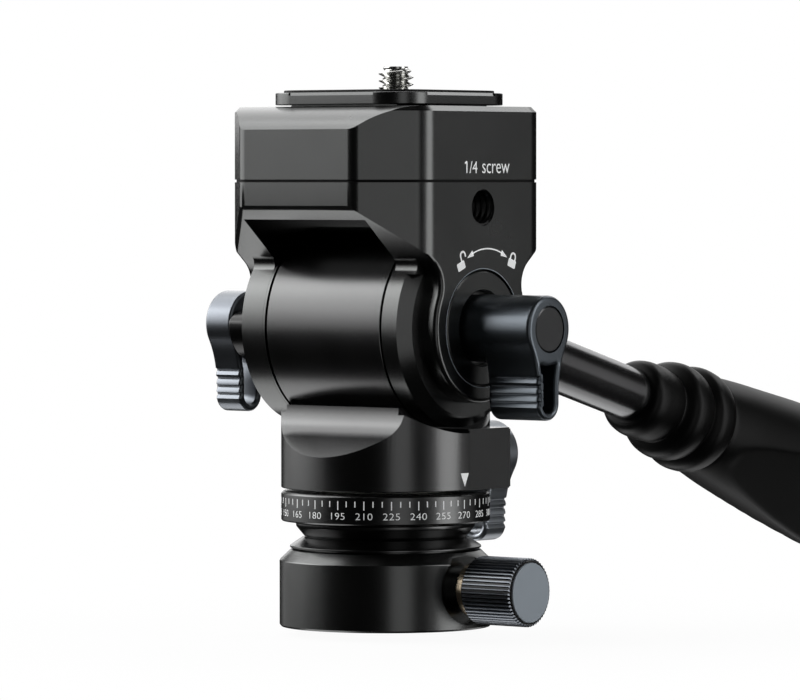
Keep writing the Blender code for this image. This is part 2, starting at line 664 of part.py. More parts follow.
def base_clamp(root):
    """Brass washer, knob, cap and cone-ended screw on the clamp's axis."""
    seat = CUP_RADIUS - SPOT_FACE_DEPTH + SEAT_HEIGHT
    washer_back = seat + TOUCH_GAP
    turned("clamp_washer", ring_profile(WASHER_RADIUS, CLAMP_BORE_RADIUS, washer_back,
                                        washer_back + WASHER_THICKNESS),
           root, (0, 0, CLAMP_AXIS_HEIGHT), RIGHTWARD, BRASS, ring=True)
    knob_back = washer_back + WASHER_THICKNESS + RUN_GAP
    axis = add_axis("clamp_knob_axis", root, (knob_back, 0, CLAMP_AXIS_HEIGHT), RIGHTWARD)
    knurled_knob("clamp_knob", axis, KNOB_RADIUS, KNOB_LENGTH, KNURL_COUNT, KNOB_CAP_RADIUS)
    round_cap("clamp_knob_cap", axis, KNOB_CAP_RADIUS, KNOB_LENGTH - KNOB_CAP_THICKNESS - TOUCH_GAP,
              KNOB_LENGTH + KNOB_CAP_PROUD)
    reach = SPIGOT_RADIUS - GROOVE_DEPTH + RUN_GAP - knob_back
    end = KNOB_LENGTH - KNOB_CAP_THICKNESS - TOUCH_GAP - KNOB_CAP_THICKNESS - TOUCH_GAP
    turned("clamp_screw", cone_screw_profile(reach, end - reach, CLAMP_SCREW_RADIUS), axis,
           finish=BRIGHT_STEEL, steps=SMALL_STEPS)


def foot(swivel):
    """The collar that stands in the cup: grooved spigot, flange, waist, hub and spindle in one piece."""
    inner = SPIGOT_BORE_RADIUS
    bottom = CUP_FLOOR + RUN_GAP
    groove_root = SPIGOT_RADIUS - GROOVE_DEPTH
    ceiling = FLANGE_BOTTOM
    profile = [
        (0, SPINDLE_TOP), (SPINDLE_RADIUS, SPINDLE_TOP), (SPINDLE_RADIUS, HUB_TOP), (HUB_RADIUS, HUB_TOP),
        (HUB_RADIUS, RING_SHOULDER), (NECK_FLARE_RADIUS, RING_SHOULDER),
        (NECK_FLARE_RADIUS, NECK_FLARE_TOP), (WAIST_RADIUS, WAIST_LEVEL), (WAIST_OUTER_RADIUS, WAIST_LEVEL),
        (FLANGE_RADIUS, FLANGE_BOTTOM + FLANGE_EDGE_HEIGHT), (FLANGE_RADIUS, FLANGE_BOTTOM),
        (SPIGOT_RADIUS, FLANGE_BOTTOM), (SPIGOT_RADIUS, CLAMP_AXIS_HEIGHT + GROOVE_HALF_WIDTH),
        (groove_root, CLAMP_AXIS_HEIGHT + SCREW_CONE_TIP), (groove_root, CLAMP_AXIS_HEIGHT - SCREW_CONE_TIP),
        (SPIGOT_RADIUS, CLAMP_AXIS_HEIGHT - GROOVE_HALF_WIDTH), (SPIGOT_RADIUS, bottom),
        (inner, bottom), (inner, ceiling), (0, ceiling),
    ]
    turned("foot_collar", profile, swivel, finish=BLACK_ANODISED, steps=LARGE_STEPS)
    ring = [
        (HOUSING_RADIUS - RING_CHAMFER, RING_TOP), (HOUSING_RADIUS, RING_TOP - RING_CHAMFER),
        (HOUSING_RADIUS, RING_BOTTOM),
        (RING_BORE_RADIUS, RING_BOTTOM), (RING_BORE_RADIUS, RING_TOP),
    ]
    turned("scale_ring", ring, swivel, finish=BLACK_ANODISED, steps=LARGE_STEPS, ring=True)
    turned("pan_thrust_washer",
           ring_profile(THRUST_WASHER_RADIUS, SPINDLE_BORE_RADIUS, THRUST_BOTTOM,
                        THRUST_BOTTOM + THRUST_WASHER_THICKNESS),
           swivel, finish=PALE_POLYMER, steps=INNER_STEPS, ring=True)
    turned("spindle_washer",
           ring_profile(SPINDLE_WASHER_RADIUS, SPINDLE_BORE_RADIUS, SPINDLE_WASHER_BOTTOM,
                        SPINDLE_WASHER_BOTTOM + SPINDLE_WASHER_THICKNESS),
           swivel, finish=BRIGHT_STEEL, steps=INNER_STEPS, ring=True)
    hexagon = arc((0, 0), SPINDLE_NUT_RADIUS, 0, math.tau * 5 / 6, 5)
    hole = arc((0, 0), SPINDLE_BORE_RADIUS, 0, math.tau * (SMALL_STEPS - 1) / SMALL_STEPS, SMALL_STEPS - 1)
    slab("spindle_nut", [hexagon, hole], SPINDLE_NUT_BOTTOM, SPINDLE_NUT_BOTTOM + SPINDLE_NUT_HEIGHT,
         swivel, finish=BRIGHT_STEEL)


def shoulder_outline():
    """What is milled off the housing's front: outside the concave neck and its 40 degree slope.

    x is the distance from the pan axis and y the height from the tilt axis.
    """
    slope = SHOULDER_SLOPE
    foot_x = HOUSING_RADIUS
    foot_y = HOUSING_BOTTOM + SHOULDER_HEIGHT - TILT_HEIGHT
    radius = NECK_FILLET_RADIUS
    centre_x = NECK_HALF_DEPTH + radius
    lift = (radius - (centre_x - foot_x) * math.sin(slope)) / math.cos(slope)
    centre = (centre_x, foot_y + lift)
    reach = BARREL_RADIUS + OVERRUN
    far_x = foot_x + OVERRUN
    far_y = foot_y - OVERRUN * math.tan(slope)
    fillet = arc(centre, radius, math.pi, math.pi * 3 / 2 - slope, SMALL_STEPS // 2)
    return [(NECK_HALF_DEPTH, reach)] + fillet + [(far_x, far_y), (far_x, reach)]


def pan_housing(pan):
    """Round housing, concave neck, cross-wise barrel and the square block of the pan lock."""
    tilt_centre = (0, 0, TILT_HEIGHT)
    top = TILT_HEIGHT
    housing = turned("pan_housing", disc_profile(HOUSING_RADIUS, HOUSING_BOTTOM, top),
                     pan, finish=BLACK_ANODISED, steps=LARGE_STEPS)
    millings = []
    outline = shoulder_outline()
    for side, sign in (("front", -1), ("back", 1)):
        points = [(sign * x, y) for x, y in outline]
        millings.append(slab(f"shoulder_cutter_{side}", [points], -HOUSING_RADIUS - OVERRUN,
                             HOUSING_RADIUS + OVERRUN, pan, tilt_centre, SIDE_ON))
    sweep = ARM_RADIUS + ARM_SWEEP_GAP
    for side, sign in (("right", 1), ("left", -1)):
        near, far = BARREL_HALF_LENGTH - NECK_SIDE_STEP, HOUSING_RADIUS + OVERRUN
        low, high = (near, far) if sign > 0 else (-far, -near)
        millings.append(cutter_disc(f"arm_sweep_cutter_{side}", sweep, low, high, pan, tilt_centre,
                                    RIGHTWARD, MEDIUM_STEPS))
    cut(housing, *millings)
    barrel = turned("barrel_lump", disc_profile(BARREL_RADIUS, -BARREL_HALF_LENGTH, BARREL_HALF_LENGTH),
                    pan, tilt_centre, RIGHTWARD, None, LARGE_STEPS)
    block = box("rear_block_lump",
                (-REAR_BLOCK_HALF_WIDTH, NECK_HALF_DEPTH - OVERRUN, HOUSING_BOTTOM),
                (REAR_BLOCK_HALF_WIDTH, REAR_BLOCK_REACH, HOUSING_BOTTOM + REAR_BLOCK_HEIGHT),
                pan, chamfer=REAR_BLOCK_CHAMFER)
    join(housing, barrel, block)
    spindle_bore = turned("spindle_bore_cutter",
                          stepped_profile((CHAMBER_RADIUS, WEB_TOP, TILT_HEIGHT),
                                          (PAN_BUSH_RADIUS + TOUCH_GAP, WEB_BOTTOM, WEB_TOP),
                                          (THRUST_WASHER_RADIUS + RUN_GAP, HOUSING_BOTTOM - OVERRUN,
                                           WEB_BOTTOM)),
                          pan)
    barrel_bore = cutter_disc("barrel_bore_cutter", BARREL_BORE_RADIUS, -BARREL_HALF_LENGTH - OVERRUN,
                              BARREL_HALF_LENGTH + OVERRUN, pan, tilt_centre, RIGHTWARD, INNER_STEPS)
    lock_bore = cutter_disc("lock_bore_cutter", LOCK_BORE_RADIUS, SPINDLE_RADIUS,
                            REAR_BLOCK_REACH + OVERRUN, pan, (0, 0, PAN_LOCK_LEVEL), BACKWARD)
    cut(housing, spindle_bore, barrel_bore, lock_bore)
    return housing


def pan_running_parts(pan):
    """Bronze bush round the spindle and the brake shoe that the pan lock presses on it."""
    bush = turned("pan_bush",
                  ring_profile(PAN_BUSH_RADIUS, SPINDLE_BORE_RADIUS, WEB_BOTTOM, WEB_TOP),
                  pan, finish=BRONZE, steps=INNER_STEPS, ring=True)
    window = cutter_disc("bush_window_cutter", LOCK_BORE_RADIUS, 0.0, CHAMBER_RADIUS, pan,
                         (0, 0, PAN_LOCK_LEVEL), BACKWARD)
    cut(bush, window)
    start = SPINDLE_BORE_RADIUS
    turned("pan_brake_shoe", disc_profile(LOCK_SCREW_RADIUS, start, start + BRAKE_SHOE_LENGTH), pan,
           (0, 0, PAN_LOCK_LEVEL), BACKWARD, BRASS, SMALL_STEPS)


def lever_outline(ribbed_side):
    """Outline of a lever that hangs along -Y: boss, waisted arm, round tip, grooves on one side."""
    boss, half, drop = LEVER_BOSS_RADIUS, LEVER_ARM_HALF_WIDTH, LEVER_WAIST_DROP
    waist = (half * half + drop * drop - boss * boss) / (2 * (boss - half))
    centre = (half + waist, -drop)
    touch = math.atan2(-drop, half + waist)
    bridge = arc(centre, waist, math.pi + touch, math.pi, CORNER_STEPS)
    upper = arc((0, 0), boss, math.pi / 2, touch, SMALL_STEPS - CORNER_STEPS)
    grooves = []
    for index in range(GRIP_GROOVE_COUNT):
        level = -GRIP_GROOVE_START - GRIP_GROOVE_PITCH * index
        grooves += [(half, level + GRIP_GROOVE_HALF_WIDTH), (half - GRIP_GROOVE_DEPTH, level),
                    (half, level - GRIP_GROOVE_HALF_WIDTH)]
    tip = arc((0, -LEVER_REACH), half, 0, -math.pi / 2, CORNER_STEPS)
    bare = upper + bridge[1:] + tip
    above = -GRIP_GROOVE_START + GRIP_GROOVE_HALF_WIDTH
    below = -GRIP_GROOVE_START - GRIP_GROOVE_PITCH * (GRIP_GROOVE_COUNT - 1) - GRIP_GROOVE_HALF_WIDTH
    ribbed = [p for p in upper + bridge[1:] if p[1] > above] + grooves
    ribbed += [p for p in tip if p[1] < below]
    right, left = (ribbed, bare) if ribbed_side > 0 else (bare, ribbed)
    return right + [(-x, y) for x, y in reversed(left[1:-1])]


def slot_outline():
    """The slot in a lever's arm, a rim's width inside its sides, with an arched top."""
    boss, half, drop = LEVER_BOSS_RADIUS, LEVER_ARM_HALF_WIDTH, LEVER_WAIST_DROP
    waist = (half * half + drop * drop - boss * boss) / (2 * (boss - half))
    centre_x = half + waist
    side = waist + LEVER_RIM
    points = []
    start = LEVER_SLOT_START
    for index in range(CORNER_STEPS + 1):
        level = start + (drop - start) * index / CORNER_STEPS
        points.append((centre_x - math.sqrt(side * side - (drop - level) ** 2), -level))
    tip = arc((0, -LEVER_REACH), half - LEVER_RIM, 0, -math.pi / 2, CORNER_STEPS)
    corner_x, corner_y = points[0]
    radius = math.hypot(corner_x, corner_y)
    begin = math.atan2(corner_y, corner_x)
    top = arc((0, 0), radius, -math.pi / 2, begin, 3)
    return mirrored_outline(top[:-1] + points + tip)


def lever(name, parent, back, face, arm_back, ribbed_side, finish):
    """A slotted lever along its axis: boss from back to face, arm from arm_back to face."""
    piece = slab(name, [lever_outline(ribbed_side), slot_outline()], arm_back, face, parent,
                 finish=finish, edge=LEVER_EDGE_CHAMFER)
    if back < arm_back:
        boss = turned(name + "_boss_lump",
                      disc_profile(LEVER_BOSS_RADIUS - WELD, back, face - LEVER_CAP_THICKNESS), parent,
                      steps=MEDIUM_STEPS)
        join(piece, boss)
    floor = face - LEVER_CAP_THICKNESS
    recess = cutter_disc(name + "_cap_cutter", LEVER_CAP_RADIUS + TOUCH_GAP, floor, face + OVERRUN,
                         parent, steps=MEDIUM_STEPS)
    bore = cutter_disc(name + "_bore_cutter", LOCK_BORE_RADIUS, back - OVERRUN,
                       face - LEVER_SCREW_END + TOUCH_GAP, parent)
    cut(piece, recess, bore)
    round_cap(name + "_cap", parent, LEVER_CAP_RADIUS, floor, face)
    return piece


def lever_screw(name, parent, tip, face):
    """Steel screw from its tip to inside the lever's boss."""
    return turned(name, disc_profile(LOCK_SCREW_RADIUS, tip, face - LEVER_SCREW_END), parent,
                  finish=BRIGHT_STEEL, steps=SMALL_STEPS)


def pan_lock(pan):
    """Lever and screw behind the housing's block."""
    axis = add_axis("pan_lever_axis", pan, (0, 0, PAN_LOCK_LEVEL), FACING_BACK)
    face = PAN_LEVER_BACK + PAN_LEVER_WIDTH
    lever("pan_lock_lever", axis, PAN_LEVER_BACK, face, PAN_LEVER_BACK, -1, BLUE_BLACK_METAL)
    tip = SPINDLE_BORE_RADIUS + BRAKE_SHOE_LENGTH + RUN_GAP
    lever_screw("pan_lock_screw", axis, tip, face)


def barrel_parts(pan):
    """Bearing bushes at the barrel's ends and the drag discs that stay in the barrel."""
    centre = (0, 0, TILT_HEIGHT)
    outer = BARREL_BORE_RADIUS - TOUCH_GAP
    for side, facing in (("right", RIGHTWARD), ("left", LEFTWARD)):
        turned(f"axle_bush_{side}", ring_profile(outer, AXLE_BORE_RADIUS, END_BUSH_INNER, END_BUSH_OUTER),
               pan, centre, facing, BRONZE, INNER_STEPS, ring=True)
    for index, (low, high) in enumerate(disc_places()[0::2]):
        turned(f"drag_stator_{index + 1}", ring_profile(outer, AXLE_BORE_RADIUS + DISC_EDGE_GAP, low, high),
               pan, centre, RIGHTWARD, PALE_POLYMER, INNER_STEPS, ring=True)


def disc_places():
    """Both faces of each drag disc along the tilt axis, stator and rotor in turn."""
    count = 2 * STATOR_COUNT - 1
    room = 2 * END_BUSH_INNER
    thickness = (room - (count + 1) * RUN_GAP) / count
    places = []
    for index in range(count):
        low = -END_BUSH_INNER + RUN_GAP + index * (thickness + RUN_GAP)
        places.append((low, low + thickness))
    return places


def block_outline(inset=0.0):
    """The eight-sided outline shared by the yoke and the clamp body, seen from above."""
    wide, deep = BLOCK_HALF_WIDTH - inset, BLOCK_HALF_DEPTH - inset
    corner = BLOCK_CORNER_CUT - inset * (2 - math.sqrt(2))
    quarter = [(wide, deep - corner, SIDE_CORNER_ROUND), (wide - corner, deep, FRONT_CORNER_ROUND)]
    corners = quarter + [(-x, y, r) for x, y, r in reversed(quarter)]
    corners += [(-x, -y, r) for x, y, r in corners]
    return rounded_outline(corners)


def arm_outline(radius, fillet):
    """Side view of an arm: block side, sloping underside, fillet and round end below."""
    slope = UNDERSIDE_SLOPE
    edge = Vector((BLOCK_HALF_DEPTH, BLOCK_UNDERSIDE))
    outward = Vector((math.sin(slope), -math.cos(slope)))
    along = Vector((math.cos(slope), math.sin(slope)))
    height = edge.dot(outward) + fillet
    run = math.sqrt((radius + fillet) ** 2 - height ** 2)
    centre = outward * height + along * run
    start = math.atan2(-outward.y, -outward.x)
    end = math.atan2(-centre.y, -centre.x) + math.tau
    bend = arc(centre, fillet, start, end, CORNER_STEPS)
    touch = math.atan2(centre.y, centre.x)
    rim = arc((0, 0), radius, touch, -math.pi / 2, SMALL_STEPS)
    top = YOKE_TOP + OVERRUN
    half = [(BLOCK_HALF_DEPTH + OVERRUN, top)]
    half += [tuple(edge + along * (OVERRUN / math.cos(slope)))]
    half += bend + rim[1:]
    return mirrored_outline(half)


def tilt_yoke(tilt):
    """Eight-sided block with two arms, a boss on each, the pocket over the barrel and all bores."""
    yoke = slab("tilt_yoke", [arm_outline(ARM_RADIUS, ARM_FILLET_RADIUS)], -ARM_SLAB_HALF_WIDTH,
                ARM_SLAB_HALF_WIDTH, tilt, (0, 0, 0), SIDE_ON, BLACK_ANODISED)
    bosses = slab("arm_boss_lump", [arm_outline(BOSS_RADIUS, BOSS_FILLET_RADIUS)], -BLOCK_HALF_WIDTH,
                  BLOCK_HALF_WIDTH, tilt, (0, 0, 0), SIDE_ON, edge=BOSS_EDGE_ROUND, edge_steps=1)
    envelope = slab("yoke_envelope", [block_outline()], -ARM_RADIUS - OVERRUN, YOKE_TOP, tilt)
    pocket = box("pocket_cutter",
                 (-POCKET_HALF_WIDTH, FRONT_WALL - BLOCK_HALF_DEPTH, -ARM_RADIUS - OVERRUN - OVERRUN),
                 (POCKET_HALF_WIDTH, BLOCK_HALF_DEPTH - FRONT_WALL, POCKET_CEILING), tilt)
    land = slab("yoke_land_lump", [block_outline(SEAM_DEPTH)], YOKE_TOP - OVERRUN, CLAMP_BOTTOM - SEAT_GAP,
                tilt)
    join(yoke, bosses)
    keep_inside(yoke, envelope)
    join(yoke, land)
    cut(yoke, pocket)
    for side, sign in (("right", 1), ("left", -1)):
        near, far = ARM_INNER_FACE, POCKET_HALF_WIDTH + OVERRUN
        low, high = (near, far) if sign > 0 else (-far, -near)
        join(yoke, turned(f"arm_pad_lump_{side}", disc_profile(ARM_RADIUS - ARM_PAD_INSET, low, high), tilt,
                          (0, 0, 0), RIGHTWARD, None, MEDIUM_STEPS))
    yoke_bores(yoke, tilt)
    return yoke


def yoke_bores(yoke, tilt):
    """Axle bore, cover recess, side thread, screw holes and the handle's socket."""
    reach = BLOCK_HALF_WIDTH + OVERRUN
    axle = cutter_disc("axle_bore_cutter", AXLE_BORE_RADIUS, -reach, reach, tilt, (0, 0, 0), RIGHTWARD)
    cover = cutter_disc("cover_recess_cutter", COVER_RADIUS + TOUCH_GAP, COVER_FLOOR, reach, tilt,
                        (0, 0, 0), RIGHTWARD, MEDIUM_STEPS)
    thread = cutter_disc("side_thread_cutter", SIDE_THREAD_RADIUS, BLOCK_HALF_WIDTH - SIDE_THREAD_DEPTH,
                         reach, tilt, (0, 0, SIDE_THREAD_HEIGHT), RIGHTWARD, INNER_STEPS)
    place = (HANDLE_OFFSET, 0, 0)
    facing = (-math.pi / 2 - HANDLE_DROP, 0, 0)
    socket = turned("handle_socket_lump", disc_profile(SOCKET_RADIUS, SOCKET_ROOT, SOCKET_END), tilt,
                    place, facing, None, MEDIUM_STEPS)
    side = box("socket_side_cutter", (0, 0, -BLOCK_HALF_DEPTH),
               (ARM_INNER_FACE, BLOCK_HALF_DEPTH + OVERRUN, 0), tilt)
    stud = cutter_disc("stud_bore_cutter", STUD_RADIUS + TOUCH_GAP, SOCKET_ROOT, TUBE_LENGTH, tilt,
                       place, facing)
    cut(socket, side)
    join(yoke, socket)
    cut(yoke, axle, cover, thread, stud)
    for number, x, y in body_screw_places():
        cut(yoke, cutter_disc(f"yoke_screw_cutter_{number}", BODY_SCREW_RADIUS + TOUCH_GAP,
                              YOKE_TOP - BODY_SCREW_REACH - BODY_SCREW_BOTTOM, YOKE_TOP + OVERRUN,
                              tilt, (x, y, 0)))


def body_screw_places():
    """Number and place of each screw between the clamp body and the yoke."""
    places = [(x, y) for x in (-BODY_SCREW_PITCH_X, BODY_SCREW_PITCH_X)
              for y in (-BODY_SCREW_PITCH_Y, BODY_SCREW_PITCH_Y)]
    return [(index + 1, x, y) for index, (x, y) in enumerate(places)]


def tilt_axle(tilt):
    """Axle with a threaded bore in each end, cover disc, and the drag discs that turn with the axle."""
    axle = turned("tilt_axle", disc_profile(AXLE_RADIUS, -AXLE_HALF_LENGTH, AXLE_HALF_LENGTH), tilt,
                  (0, 0, 0), RIGHTWARD, BRIGHT_STEEL, SMALL_STEPS)
    for side, sign in (("right", 1), ("left", -1)):
        inner, outer = AXLE_HALF_LENGTH - TILT_SCREW_DEPTH, AXLE_HALF_LENGTH + OVERRUN
        low, high = (inner, outer) if sign > 0 else (-outer, -inner)
        cut(axle, cutter_disc(f"axle_end_cutter_{side}", LOCK_BORE_RADIUS, low, high, tilt, (0, 0, 0),
                              RIGHTWARD))
    turned("arm_cover", ring_profile(COVER_RADIUS, COVER_HOLE_RADIUS, COVER_FLOOR + TOUCH_GAP,
                                     BLOCK_HALF_WIDTH),
           tilt, (0, 0, 0), RIGHTWARD, BLACK_ANODISED, ring=True)
    outer = BARREL_BORE_RADIUS - TOUCH_GAP - DISC_EDGE_GAP
    for index, (low, high) in enumerate(disc_places()[1::2]):
        turned(f"drag_rotor_{index + 1}", ring_profile(outer, AXLE_BORE_RADIUS, low, high), tilt,
               (0, 0, 0), RIGHTWARD, BRIGHT_STEEL, INNER_STEPS, ring=True)


def tilt_levers(tilt):
    """Lock lever on the right, and the dark hub with the drag lever on the left."""
    lock = add_axis("tilt_lever_axis", tilt, (0, 0, 0), FACING_RIGHT)
    lever("tilt_lock_lever", lock, TILT_LEVER_BACK, TILT_LEVER_FACE, TILT_LEVER_ARM_BACK, -1,
          BLUE_BLACK_METAL)
    tip = AXLE_HALF_LENGTH - TILT_SCREW_DEPTH + RUN_GAP
    lever_screw("tilt_lock_screw", lock, tip, TILT_LEVER_FACE)
    drag = add_axis("drag_lever_axis", tilt, (0, 0, 0), FACING_LEFT)
    lever("drag_lever", drag, DRAG_LEVER_BACK, DRAG_LEVER_FACE, DRAG_LEVER_BACK, 1, SILVER_METAL)
    lever_screw("drag_screw", drag, tip, DRAG_LEVER_FACE)
    hub = slab("drag_hub", [hub_outline()], DRAG_HUB_BACK, DRAG_HUB_BACK + DRAG_HUB_LENGTH, tilt,
               (0, 0, 0), FACING_LEFT, BLACK_ANODISED)
    cut(hub, cutter_disc("hub_bore_cutter", LOCK_BORE_RADIUS, DRAG_HUB_BACK - OVERRUN, DRAG_LEVER_FACE,
                         tilt, (0, 0, 0), LEFTWARD))


def hub_outline():
    """The drag hub: round below and cut to a low crown above the axis."""
    radius, shoulder, crown = DRAG_HUB_RADIUS, DRAG_HUB_SHOULDER, DRAG_HUB_CROWN
    rise = crown - shoulder
    crown_radius = (radius * radius + rise * rise) / (2 * rise)
    half = math.asin(radius / crown_radius)
    top = arc((0, crown - crown_radius), crown_radius, math.pi / 2, math.pi / 2 - half, CORNER_STEPS)
    top = [p for p in top if p[0] < radius - DRAG_HUB_ROUND]
    side = arc((0, 0), radius, math.asin(shoulder / radius) - DRAG_HUB_ROUND / radius, -math.pi / 2,
               SMALL_STEPS)
    return mirrored_outline(top + side)


def clamp_body(tilt):
    """Eight-sided body with rounded front and back shoulders and a pocket for the plate's dovetail."""
    body = slab("clamp_body", [block_outline()], CLAMP_BOTTOM - OVERRUN, CLAMP_TOP, tilt,
                finish=BLACK_ANODISED, edge=CLAMP_CHAMFER)
    start = BLOCK_HALF_DEPTH - SCOOP_INSET
    axis_level = CLAMP_TOP - SCOOP_RADIUS
    reach = BLOCK_HALF_DEPTH + OVERRUN
    end = math.acos((reach - start) / SCOOP_RADIUS)
    shoulder = arc((start, axis_level), SCOOP_RADIUS, math.pi / 2, end, SMALL_STEPS // 2)
    profile = mirrored_outline(shoulder + [(reach, CLAMP_BOTTOM)])
    envelope = slab("clamp_envelope", [profile], -reach, reach, tilt, (0, 0, 0), SIDE_ON)
    keep_inside(body, envelope)
    taper = DOVETAIL_TAPER / (CLAMP_TOP - DOVETAIL_BOTTOM)
    side_gap = RUN_GAP * math.hypot(1, taper)
    floor_x = PLATE_OFFSET + DOVETAIL_HALF_WIDTH + side_gap + RUN_GAP * taper
    above = CLAMP_TOP + OVERRUN
    pocket = [(jaw_left() - JAW_TRAVEL - RUN_GAP, POCKET_FLOOR), (floor_x, POCKET_FLOOR),
              (floor_x - (above - POCKET_FLOOR) * taper, above),
              (jaw_left() - JAW_TRAVEL - RUN_GAP, above)]
    hollow = slab("plate_pocket_cutter", [pocket], -DOVETAIL_HALF_DEPTH - RUN_GAP,
                  DOVETAIL_HALF_DEPTH + RUN_GAP, tilt, (0, 0, 0), FACING_FRONT)
    lug = box("lug_pocket_cutter",
              (jaw_left() - JAW_TRAVEL - RUN_GAP, -LUG_HALF_DEPTH - RUN_GAP, LUG_BOTTOM - RUN_GAP),
              (lug_right() + LUG_POCKET_REACH, LUG_HALF_DEPTH + RUN_GAP, POCKET_FLOOR + OVERRUN), tilt)
    bore = cutter_disc("release_bore_cutter", LOCK_BORE_RADIUS, -jaw_left(), BLOCK_HALF_WIDTH + OVERRUN,
                       tilt, (0, 0, RELEASE_LEVEL), LEFTWARD)
    cut(body, hollow, lug, bore)
    for number, x, y in body_screw_places():
        ledge = POCKET_FLOOR - BODY_SCREW_HEAD_HEIGHT - TOUCH_GAP
        cut(body, turned(f"body_screw_cutter_{number}",
                         stepped_profile((BODY_SCREW_HEAD_RADIUS + TOUCH_GAP, ledge, POCKET_FLOOR + OVERRUN),
                                         (BODY_SCREW_RADIUS + TOUCH_GAP, CLAMP_BOTTOM - OVERRUN, ledge)),
                         tilt, (x, y, 0), steps=SMALL_STEPS))
    return body


def body_screws(tilt):
    """Four cap screws that hold the clamp body down."""
    head_bottom = POCKET_FLOOR - BODY_SCREW_HEAD_HEIGHT
    profile = stepped_profile((BODY_SCREW_HEAD_RADIUS, head_bottom, POCKET_FLOOR),
                              (BODY_SCREW_RADIUS, YOKE_TOP - BODY_SCREW_REACH, head_bottom))
    for number, x, y in body_screw_places():
        turned(f"body_screw_{number}", profile, tilt, (x, y, 0), UP, BRIGHT_STEEL, SMALL_STEPS)


def jaw_taper():
    """Sideways lean of the dovetail for each unit of height."""
    return DOVETAIL_TAPER / (CLAMP_TOP - DOVETAIL_BOTTOM)


def jaw_floor_right():
    """Where the jaw's lean starts, at the dovetail's bottom level."""
    side_gap = RUN_GAP * math.hypot(1, jaw_taper())
    return PLATE_OFFSET - DOVETAIL_HALF_WIDTH - side_gap


def jaw_left():
    """The jaw's back face when it is closed."""
    return jaw_floor_right() - JAW_WIDTH


def lug_right():
    """The front face of the lug under the jaw."""
    return jaw_floor_right() - LUG_SETBACK


def clamp_jaw(slide):
    """Sliding jaw that leans over the plate's dovetail, with a lug for the release screw."""
    taper = jaw_taper()
    right, left = jaw_floor_right(), jaw_left()
    section = [(left, DOVETAIL_BOTTOM), (right, DOVETAIL_BOTTOM),
               (right + (JAW_TOP - DOVETAIL_BOTTOM) * taper, JAW_TOP), (left, JAW_TOP)]
    jaw = slab("clamp_jaw", [section], -DOVETAIL_HALF_DEPTH, DOVETAIL_HALF_DEPTH, slide, (0, 0, 0),
               FACING_FRONT, BRIGHT_STEEL)
    lug = box("jaw_lug_lump", (left, -LUG_HALF_DEPTH, LUG_BOTTOM),
              (lug_right(), LUG_HALF_DEPTH, DOVETAIL_BOTTOM + POCKET_DEPTH / 2), slide)
    bore = cutter_disc("jaw_bore_cutter", LOCK_BORE_RADIUS, -right - OVERRUN, -left + OVERRUN, slide,
                       (0, 0, RELEASE_LEVEL), LEFTWARD)
    join(jaw, lug)
    cut(jaw, bore)


def release_knob(tilt):
    """Knurled knob, cap and screw on the hidden side, which draw the jaw back."""
    back = BLOCK_HALF_WIDTH + RUN_GAP
    axis = add_axis("release_axis", tilt, (-back, 0, RELEASE_LEVEL), LEFTWARD)
    knurled_knob("release_knob", axis, RELEASE_KNOB_RADIUS, RELEASE_KNOB_LENGTH, RELEASE_KNURL_COUNT,
                 RELEASE_CAP_RADIUS)
    floor = RELEASE_KNOB_LENGTH - KNOB_CAP_THICKNESS - TOUCH_GAP
    round_cap("release_knob_cap", axis, RELEASE_CAP_RADIUS, floor, RELEASE_KNOB_LENGTH + KNOB_CAP_PROUD)
    turned("release_screw", disc_profile(LOCK_SCREW_RADIUS, -back - lug_right() - LUG_POCKET_REACH + RUN_GAP,
                                         floor - KNOB_CAP_THICKNESS - TOUCH_GAP),
           axis, finish=BRIGHT_STEEL, steps=SMALL_STEPS)


def square_outline(half, corner):
    """A square with round corners."""
    return rounded_outline([(half, half, corner), (-half, half, corner), (-half, -half, corner),
                            (half, -half, corner)])


